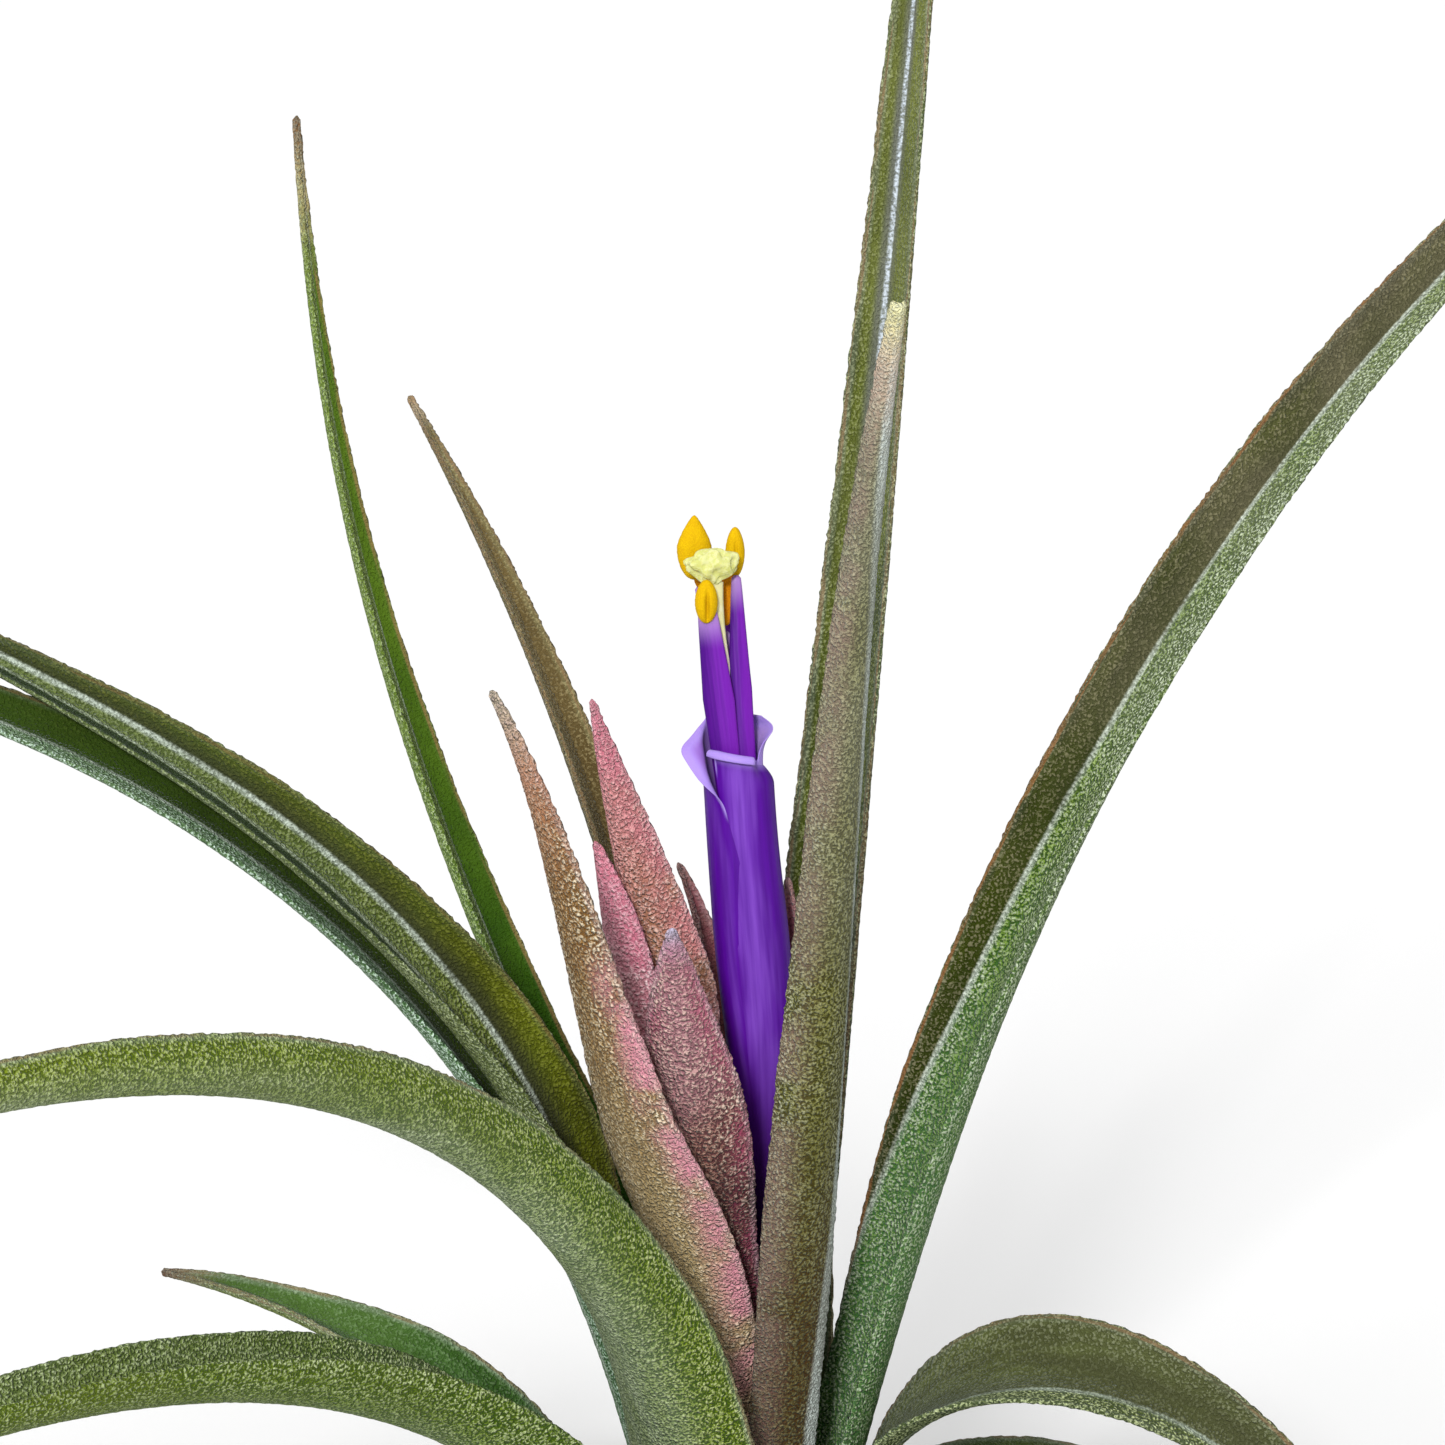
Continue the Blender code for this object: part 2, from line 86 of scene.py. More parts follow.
def blend(keys: tuple[float, ...], along: np.ndarray) -> np.ndarray:
    """Blends keys smoothly, from the first at 0 to the last at 1.

    Args:
        keys: the values to pass from one to the next.
        along: where to blend, from 0 to 1.

    Returns:
        The blended value at each place.
    """
    order = len(keys) - 1
    total = np.zeros_like(along)
    for i, key in enumerate(keys):
        total = total + math.comb(order, i) * along**i * (1.0 - along) ** (order - i) * key
    return total


class Nodes:
    """Lays out one material's shader nodes."""

    def __init__(self, name: str) -> None:
        """Starts a material with only its shader and output.

        Args:
            name: the material's name.
        """
        self.material: bpy.types.Material = bpy.data.materials.new(name)
        self.material.use_nodes = True
        self.tree: bpy.types.ShaderNodeTree = self.material.node_tree
        self.shader: bpy.types.Node = self.tree.nodes["Principled BSDF"]

    def join(self, source: object, target: bpy.types.NodeSocket) -> None:
        """Links a socket to an input, or sets a plain value on it.

        Args:
            source: a socket, a number or a colour.
            target: the input that takes it.
        """
        if isinstance(source, bpy.types.NodeSocket):
            self.tree.links.new(source, target)
        else:
            target.default_value = source

    def attribute(self, name: str) -> bpy.types.NodeSocket:
        """The number stored on the mesh under that name."""
        node = self.tree.nodes.new("ShaderNodeAttribute")
        node.attribute_name = name
        return node.outputs["Fac"]

    def vector(self, name: str) -> bpy.types.NodeSocket:
        """The vector stored on the mesh under that name."""
        node = self.tree.nodes.new("ShaderNodeAttribute")
        node.attribute_name = name
        return node.outputs["Vector"]

    def place(self) -> bpy.types.NodeSocket:
        """The place of a point on the object, in metres."""
        return self.tree.nodes.new("ShaderNodeTexCoord").outputs["Object"]

    def math(self, operation: str, first: object, second: object = 0.0) -> bpy.types.NodeSocket:
        """A sum of two numbers.

        Args:
            operation: the node's name for it, such as MULTIPLY.
            first: a socket or a number.
            second: a socket or a number.

        Returns:
            The result's socket.
        """
        node = self.tree.nodes.new("ShaderNodeMath")
        node.operation = operation
        self.join(first, node.inputs[0])
        self.join(second, node.inputs[1])
        return node.outputs[0]

    def step(self, value: object, low: float, high: float) -> bpy.types.NodeSocket:
        """A soft step, from 0 at low to 1 at high.

        Args:
            value: the socket to read.
            low: where the step starts.
            high: where it ends. If it is under low, the step falls.

        Returns:
            The step's socket.
        """
        node = self.tree.nodes.new("ShaderNodeMapRange")
        node.interpolation_type = "SMOOTHSTEP"
        falls = high < low
        node.inputs["From Min"].default_value = high if falls else low
        node.inputs["From Max"].default_value = low if falls else high
        node.inputs["To Min"].default_value = 1.0 if falls else 0.0
        node.inputs["To Max"].default_value = 0.0 if falls else 1.0
        self.join(value, node.inputs["Value"])
        return node.outputs["Result"]

    def mix(self, share: object, first: object, second: object) -> bpy.types.NodeSocket:
        """A colour between two.

        Args:
            share: how much of the second there is, from 0 to 1.
            first: a socket or a linear colour.
            second: a socket or a linear colour.

        Returns:
            The mixed colour's socket.
        """
        node = self.tree.nodes.new("ShaderNodeMix")
        node.data_type = "RGBA"
        node.clamp_factor = True
        self.join(share, node.inputs[0])
        self.join(first, node.inputs[6])
        self.join(second, node.inputs[7])
        return node.outputs[2]

    def stretched(self, vector: bpy.types.NodeSocket, scale: tuple[float, float, float]) -> bpy.types.NodeSocket:
        """A vector scaled along its axes."""
        node = self.tree.nodes.new("ShaderNodeMapping")
        node.vector_type = "POINT"
        self.join(vector, node.inputs["Vector"])
        node.inputs["Scale"].default_value = scale
        return node.outputs["Vector"]

    def noise(self, vector: bpy.types.NodeSocket, size: float, detail: float = 2.0) -> bpy.types.NodeSocket:
        """Soft noise.

        Args:
            vector: where to read it.
            size: the size of its patches, in the vector's own units.
            detail: how many finer layers it has.

        Returns:
            The noise's socket, mostly from 0.3 to 0.7.
        """
        node = self.tree.nodes.new("ShaderNodeTexNoise")
        self.join(vector, node.inputs["Vector"])
        node.inputs["Scale"].default_value = 1.0 / size
        node.inputs["Detail"].default_value = detail
        return node.outputs["Fac"]

    def tiles(self, vector: bpy.types.NodeSocket, size: float) -> bpy.types.NodeSocket:
        """The distance to the nearest seam between irregular tiles, as a share of their spacing."""
        node = self.tree.nodes.new("ShaderNodeTexVoronoi")
        node.feature = "DISTANCE_TO_EDGE"
        self.join(vector, node.inputs["Vector"])
        node.inputs["Scale"].default_value = 1.0 / size
        return node.outputs["Distance"]

    def bump(self, height: bpy.types.NodeSocket, depth: float, strength: float) -> None:
        """Raises the surface by a height map.

        Args:
            height: the map, from 0 to 1.
            depth: how high 1 is, in metres.
            strength: how much of it shows, from 0 to 1.
        """
        node = self.tree.nodes.new("ShaderNodeBump")
        node.inputs["Distance"].default_value = depth
        node.inputs["Strength"].default_value = strength
        self.join(height, node.inputs["Height"])
        self.join(node.outputs["Normal"], self.shader.inputs["Normal"])

    def surface(self, colour: object, roughness: object, gloss: float = 0.5) -> None:
        """Sets the shader's colour, roughness and gloss.

        Args:
            colour: a socket or a linear colour.
            roughness: a socket or a number.
            gloss: the specular level.
        """
        self.join(colour, self.shader.inputs["Base Color"])
        self.join(roughness, self.shader.inputs["Roughness"])
        self.shader.inputs["Specular IOR Level"].default_value = gloss


@dataclass(frozen=True)
class ScurfFinish:
    """A leaf's or bract's skin under its coat of tiny pale scales.

    Both faces have a deep colour between the scales, a middle colour and a pale one on the
    scales. The outer face carries the thick coat. Towards the tip both faces turn to their
    far colours. Sizes are in millimetres.
    """

    outer_deep: Colour = (50, 78, 0)
    outer_mid: Colour = (102, 128, 14)
    outer_pale: Colour = (186, 198, 144)
    outer_far: Colour = (112, 126, 22)
    inner_deep: Colour = (48, 66, 6)
    inner_mid: Colour = (72, 88, 26)
    inner_pale: Colour = (126, 136, 98)
    inner_far: Colour = (84, 92, 48)
    edge: Colour = (176, 188, 170)
    edge_line: Colour = (140, 104, 74)
    tip: Colour = (182, 150, 104)
    tip_end: Colour = (124, 84, 50)
    foot: Colour = (104, 116, 74)
    blush: Colour = (206, 120, 134)
    groove: Colour = (98, 100, 98)
    outer_coat: float = 1.0
    inner_coat: float = 0.3
    bloom: float = 0.1
    edge_coat: float = 0.4
    edge_width: float = 0.5
    edge_full: float = 0.1
    line_share: float = 0.5
    edge_side: float = 0.0
    groove_coat: float = 0.0
    groove_at: float = 0.0
    tip_length: float = 8.0
    foot_share: float = 0.0
    foot_length: float = 30.0
    blush_share: float = 0.0
    blush_width: float = 3.0
    scale_size: float = 0.3
    relief: float = 0.9
    far_share: float = 0.8
    far_from: float = 0.25
    near_edge: float = 1.0
    blush_side: float = 0.0
    blush_until: float = 200.0
    foot_side: float = 0.0
    # Pale scales along one side of the outer face: partly the coat's own scurf, partly a painted sheen.
    frost_and_sheen: Colour = (200, 210, 192)
    frost_and_sheen_side: float = 0.0
    frost_and_sheen_share: float = 0.7
    gap_shade: float = 0.25
    # Painted shade: past this place across the inner face, the face turns to the dark second colour of a shadowed
    # channel.
    shade_band_from: float = 0.0
    second: Colour = (38, 58, 4)
    line_shadow: float = 0.0
    shadow: Colour = (44, 46, 34)

    def coated(self, n: Nodes, scales: object, coat: object, deep: object, mid: object, pale: Colour,
               shade: float) -> bpy.types.NodeSocket:
        """Skin under scales.

        Args:
            n: the material's nodes.
            scales: where the scales are, from 0 to 1.
            coat: how thick the coat is.
            deep: the colour between the scales.
            mid: the colour of thin scales.
            pale: the colour of thick scales.
            shade: how much darker than deep the gaps between the scales are.

        Returns:
            The colour's socket.
        """
        gaps = n.mix(shade, deep, (0.0, 0.0, 0.0, 1.0))
        colour = n.mix(n.step(scales, 0.16, 0.56), gaps, mid)
        return n.mix(n.math("MULTIPLY", n.step(scales, 0.46, 0.82), coat), colour, linear(pale))

    def material(self, name: str) -> bpy.types.Material:
        """Makes the material.

        Args:
            name: the material's name.

        Returns:
            The material, which reads the numbers that Blade stores on its mesh.
        """
        n = Nodes(name)
        place = n.place()
        skin = n.vector("skin")
        along = n.attribute("along")
        to_edge = n.attribute("to_edge")
        from_tip = n.attribute("from_tip")
        band = n.attribute("band")
        across = n.attribute("across")
        inner_face = n.math("MULTIPLY", n.attribute("inner"), n.step(band, 0.12, -0.12))

        grain = n.step(n.noise(place, self.scale_size * 0.75 * MM, 2.0), 0.36, 0.64)
        flakes = n.step(n.tiles(place, self.scale_size * 1.05 * MM), 0.0, 0.34)
        scales = n.math("ADD", n.math("MULTIPLY", grain, 0.6), n.math("MULTIPLY", flakes, 0.5))
        patches = n.step(n.noise(n.stretched(skin, (1.0, 0.2, 1.0)), 1.5, 3.0), 0.32, 0.68)
        broad = n.step(n.noise(place, 9.0 * MM, 2.0), 0.35, 0.65)
        far = n.math("MULTIPLY", n.step(n.math("ADD", along, n.math("MULTIPLY", broad, 0.15)), self.far_from, 0.95),
                     self.far_share)
        sides = n.math("POWER", n.math("ABSOLUTE", across), 1.5)
        thick = n.math("ADD", n.math("MULTIPLY", patches, 0.5), n.math("ADD", n.math("MULTIPLY", sides, 0.95), 0.2))
        # Painted shade on the inner face, strongest beside the line.
        painted_line_shade = n.step(band, -4.0, -0.6)

        deep = n.mix(n.math("MULTIPLY", far, 0.8), linear(self.outer_deep), linear(self.outer_far))
        mid = n.mix(far, linear(self.outer_mid), linear(self.outer_far))
        mid = n.mix(n.math("MULTIPLY", broad, 0.4), mid, deep)
        coat = n.math("MULTIPLY", thick, self.outer_coat)
        coat = n.math("MULTIPLY", coat, n.math("SUBTRACT", 1.0, n.math("MULTIPLY", far, 0.45)))
        outer = self.coated(n, scales, coat, deep, mid, self.outer_pale, self.gap_shade)
        # Pale scales along one side: partly scurf, partly a painted sheen.
        if self.frost_and_sheen_side:
            frost_and_sheen_mask = n.step(n.math("MULTIPLY", across, self.frost_and_sheen_side), -0.75, 0.15)
            frost_and_sheen_mask = n.math("MULTIPLY", frost_and_sheen_mask, n.math("ADD", n.math("MULTIPLY", scales, 0.7), 0.3))
            frost_and_sheen_mask = n.math("MULTIPLY", frost_and_sheen_mask, n.math("ADD", n.math("MULTIPLY", patches, 0.5), 0.5))
            outer = n.mix(n.math("MULTIPLY", frost_and_sheen_mask, self.frost_and_sheen_share), outer, linear(self.frost_and_sheen))

        deep = n.mix(far, linear(self.inner_deep), linear(self.inner_far))
        mid = n.mix(far, linear(self.inner_mid), linear(self.inner_far))
        mid = n.mix(patches, deep, mid)
        # Painted shade: beside the line the inner face turns towards its deep colour.
        mid = n.mix(n.math("MULTIPLY", painted_line_shade, 0.75), mid, deep)
        smooth = n.mix(0.6, deep, mid)
        inner = self.coated(n, scales, n.math("MULTIPLY", thick, self.inner_coat), smooth, mid, self.inner_pale, 0.0)
        if self.line_shadow:
            inner = n.mix(n.math("MULTIPLY", n.step(band, -2.2, -0.2), self.line_shadow), inner, linear(self.shadow))
        if self.groove_coat:
            valley = n.step(n.math("ABSOLUTE", n.math("SUBTRACT", across, self.groove_at)), 0.5, 0.2)
            valley = n.math("MULTIPLY", valley, n.math("ADD", n.math("MULTIPLY", patches, 0.4), 0.4))
            inner = n.mix(valley, inner, linear(self.groove))
            groove = n.math("MULTIPLY", n.step(n.math("ABSOLUTE", n.math("SUBTRACT", across, self.groove_at)), 0.17, 0.03),
                            self.groove_coat)
            groove = n.math("MULTIPLY", groove, n.math("ADD", n.math("MULTIPLY", scales, 1.2), 0.1))
            inner = n.mix(groove, inner, linear(self.edge))
        colour = n.mix(inner_face, outer, inner)

        line = n.math("MULTIPLY", n.step(n.math("ABSOLUTE", band), 0.34, 0.08), n.math("ADD", patches, 0.25))
        line = n.math("MULTIPLY", line, n.math("ADD", n.math("MULTIPLY", scales, 0.5), 0.3))
        colour = n.mix(line, colour, linear(self.edge))
        # Painted shade: beyond its start across the inner face, the face turns to a dark channel green, with a pale
        # fringe of scales at the border.
        if self.shade_band_from:
            past = n.math("SUBTRACT", n.math("ADD", across, n.math("MULTIPLY", patches, 0.06)), self.shade_band_from)
            under = n.math("MULTIPLY", n.step(past, 0.0, 0.1), n.step(n.attribute("inner"), 0.3, 0.7))
            colour = n.mix(under, colour, linear(self.second))
            fringe = n.math("MULTIPLY", n.step(n.math("ABSOLUTE", n.math("ADD", past, 0.05)), 0.14, 0.0), 0.9)
            fringe = n.math("MULTIPLY", fringe, n.math("ADD", n.math("MULTIPLY", scales, 0.8), 0.1))
            colour = n.mix(n.math("MULTIPLY", fringe, n.attribute("inner")), colour, linear(self.edge))
        if self.foot_share:
            foot = n.math("MULTIPLY", n.step(n.attribute("from_foot"), self.foot_length, self.foot_length * 0.35),
                          self.foot_share)
            foot = n.math("MULTIPLY", foot, n.math("SUBTRACT", 1.0, n.math("MULTIPLY", scales, 0.45)))
            foot = n.math("MULTIPLY", foot, n.math("SUBTRACT", 1.0, inner_face))
            if self.foot_side:
                foot = n.math("MULTIPLY", foot, n.step(n.math("MULTIPLY", across, self.foot_side), -0.5, 0.5))
            colour = n.mix(foot, colour, linear(self.foot))
        if self.blush_share:
            blush = n.math("MULTIPLY", n.step(to_edge, self.blush_width, 0.3), self.blush_share)
            blush = n.math("MULTIPLY", blush, n.step(n.noise(place, 3.0 * MM, 2.0), 0.25, 0.6))
            blush = n.math("MULTIPLY", blush, n.math("SUBTRACT", 1.0, n.math("MULTIPLY", scales, 0.2)))
            blush = n.math("MULTIPLY", blush, n.step(n.attribute("from_foot"), self.blush_until + 6.0,
                                                     self.blush_until))
            if self.blush_side:
                blush = n.math("MULTIPLY", blush, n.step(n.math("MULTIPLY", across, self.blush_side), -0.1, 0.3))
            colour = n.mix(blush, colour, linear(self.blush))
        margin = n.math("MULTIPLY", n.step(to_edge, self.edge_width, self.edge_full), self.edge_coat)
        margin = n.math("MULTIPLY", margin, n.math("ADD", n.math("MULTIPLY", scales, 0.6), 0.5))
        margin = n.math("MULTIPLY", margin, n.math("ADD", n.math("MULTIPLY", patches, 0.5), 0.6))
        if self.edge_side:
            full_side = n.step(n.math("MULTIPLY", across, self.edge_side), -0.1, 0.1)
            margin = n.math("MULTIPLY", margin, full_side)
        if self.near_edge < 1.0:
            far_side = n.step(band, 0.4, -0.2)
            margin = n.math("MULTIPLY", margin, self.near_edge)
            margin = n.math("MAXIMUM", margin, n.math("MULTIPLY", n.step(n.math("ABSOLUTE", band), 0.42, 0.06),
                                                      n.math("MULTIPLY", scales, self.edge_coat)))
        colour = n.mix(margin, colour, linear(self.edge))
        rim = n.math("MULTIPLY", n.step(to_edge, 0.16, 0.02), self.line_share)
        if self.near_edge < 1.0:
            rim = n.math("MULTIPLY", rim, far_side)
        colour = n.mix(n.math("MULTIPLY", rim, n.step(patches, 0.1, 0.7)), colour, linear(self.edge_line))
        ragged = n.math("ADD", from_tip, n.math("MULTIPLY", n.noise(place, 1.2 * MM, 2.0), -0.35 * self.tip_length))
        tip = n.step(ragged, self.tip_length * 0.85, -0.1 * self.tip_length)
        tip_colour = n.mix(n.step(from_tip, self.tip_length * 0.5, 0.0), linear(self.tip), linear(self.tip_end))
        tip_colour = n.mix(n.math("MULTIPLY", scales, 0.4), tip_colour, linear(self.edge))
        colour = n.mix(n.math("MULTIPLY", tip, 0.92), colour, tip_colour)

        n.surface(colour, n.math("ADD", n.math("MULTIPLY", scales, 0.15), 0.6), 0.1)
        n.shader.inputs["Sheen Weight"].default_value = self.bloom
        n.shader.inputs["Sheen Roughness"].default_value = 0.3
        n.shader.inputs["Sheen Tint"].default_value = (0.86, 1.0, 0.94, 1.0)
        height = n.math("MULTIPLY", scales, n.math("ADD", n.math("MULTIPLY", inner_face, -0.6), 1.0))
        n.bump(height, 0.36 * MM, self.relief)
        return n.material


@dataclass(frozen=True)
class PetalFinish:
    """Violet petal skin that pales to lilac at its free edge."""

    petal: Colour = (92, 18, 160)
    vein: Colour = (66, 0, 124)
    pale: Colour = (120, 68, 182)
    base: Colour = (40, 0, 62)
    rim: Colour = (162, 136, 216)
    inside: Colour = (146, 108, 190)
    # A pale band along the petal: partly pale scurf, partly a painted highlight.
    scurf_and_highlight_at: float = 0.0
    scurf_and_highlight_width: float = 0.0
    scurf_and_highlight_share: float = 0.85

    def material(self, name: str) -> bpy.types.Material:
        """Makes the material.

        Args:
            name: the material's name.

        Returns:
            The material, which reads the numbers that Blade stores on its mesh.
        """
        n = Nodes(name)
        skin = n.vector("skin")
        lip = n.attribute("lip")
        inner = n.attribute("inner")
        fibres = n.step(n.noise(n.stretched(skin, (1.0, 0.05, 1.0)), 0.42, 3.0), 0.2, 0.8)
        washes = n.step(n.noise(n.stretched(skin, (1.0, 0.16, 1.0)), 1.3, 2.0), 0.35, 0.7)
        colour = n.mix(n.math("ADD", n.math("MULTIPLY", fibres, 0.5), n.math("MULTIPLY", washes, 0.3)),
                       linear(self.vein), linear(self.petal))
        # The pale band along the petal: partly pale scurf, partly a painted highlight.
        if self.scurf_and_highlight_width:
            wobble = n.math("MULTIPLY", n.math("SUBTRACT", washes, 0.5), self.scurf_and_highlight_width * 0.5)
            offset = n.math("ADD", n.math("SUBTRACT", n.attribute("across"), self.scurf_and_highlight_at), wobble)
            scurf_and_highlight = n.step(n.math("ABSOLUTE", offset), self.scurf_and_highlight_width, self.scurf_and_highlight_width * 0.1)
            scurf_and_highlight = n.math("MULTIPLY", scurf_and_highlight, n.math("MULTIPLY", n.math("ADD", fibres, 0.4), self.scurf_and_highlight_share))
            scurf_and_highlight = n.math("MULTIPLY", scurf_and_highlight, n.step(n.attribute("from_foot"), 7.0, 20.0))
            colour = n.mix(scurf_and_highlight, colour, linear(self.pale))
        colour = n.mix(n.step(n.attribute("from_foot"), 21.0, 5.0), colour, linear(self.base))
        colour = n.mix(n.math("MULTIPLY", inner, 0.8), colour, linear(self.inside))
        colour = n.mix(n.math("MULTIPLY", lip, 0.92), colour, linear(self.rim))
        n.surface(colour, n.math("ADD", n.math("MULTIPLY", fibres, 0.1), 0.42), 0.1)
        n.shader.inputs["Subsurface Weight"].default_value = 0.12
        n.shader.inputs["Subsurface Radius"].default_value = (0.5 * MM, 0.3 * MM, 0.7 * MM)
        n.shader.inputs["Subsurface Scale"].default_value = 1.0
        n.bump(fibres, 0.05 * MM, 0.35)
        return n.material


@dataclass(frozen=True)
class FilamentFinish:
    """A filament's violet, darkened along one edge with painted shade and pale just under the anther."""

    violet: Colour = (108, 24, 160)
    deep: Colour = (66, 0, 118)
    pale: Colour = (176, 138, 204)

    def material(self, name: str) -> bpy.types.Material:
        """Makes the material.

        Args:
            name: the material's name.

        Returns:
            The material.
        """
        n = Nodes(name)
        skin = n.vector("skin")
        across = n.attribute("across")
        fibres = n.step(n.noise(n.stretched(skin, (1.0, 0.04, 1.0)), 0.2, 2.0), 0.3, 0.7)
        # Painted shade: the ribbon turns to the deep violet towards one edge.
        share = n.step(n.math("ADD", across, n.math("MULTIPLY", fibres, 0.5)), -0.9, 1.1)
        colour = n.mix(share, linear(self.deep), linear(self.violet))
        colour = n.mix(n.math("MULTIPLY", n.step(n.attribute("from_tip"), 3.4, 0.6), 0.75), colour, linear(self.pale))
        n.surface(colour, 0.4, 0.16)
        n.bump(fibres, 0.04 * MM, 0.4)
        return n.material


@dataclass(frozen=True)
class GrainFinish:
    """A finely grained skin of two colours: pollen, stigma or bark."""

    base: Colour
    grain: Colour
    size: float
    share: float = 0.6
    roughness: float = 0.75
    depth: float = 0.05
    glow: float = 0.0
    low: Colour | None = None

    def material(self, name: str) -> bpy.types.Material:
        """Makes the material.

        Args:
            name: the material's name.

        Returns:
            The material.
        """
        n = Nodes(name)
        place = n.place()
        grain = n.step(n.noise(place, self.size * MM, 2.0), 0.38, 0.62)
        patches = n.step(n.noise(place, self.size * 5.0 * MM, 2.0), 0.3, 0.7)
        share = n.math("ADD", n.math("MULTIPLY", grain, 0.65 * self.share),
                       n.math("MULTIPLY", patches, 0.35 * self.share))
        colour = n.mix(share, linear(self.base), linear(self.grain))
        if self.low:
            colour = n.mix(n.step(n.attribute("from_tip"), 3.5, 8.0), colour, linear(self.low))
        n.surface(colour, self.roughness, 0.1)
        n.shader.inputs["Subsurface Weight"].default_value = self.glow
        n.shader.inputs["Subsurface Radius"].default_value = (1.2 * MM, 0.9 * MM, 0.4 * MM)
        n.shader.inputs["Subsurface Scale"].default_value = 1.0
        n.bump(grain, self.depth * MM, 0.6)
        return n.material


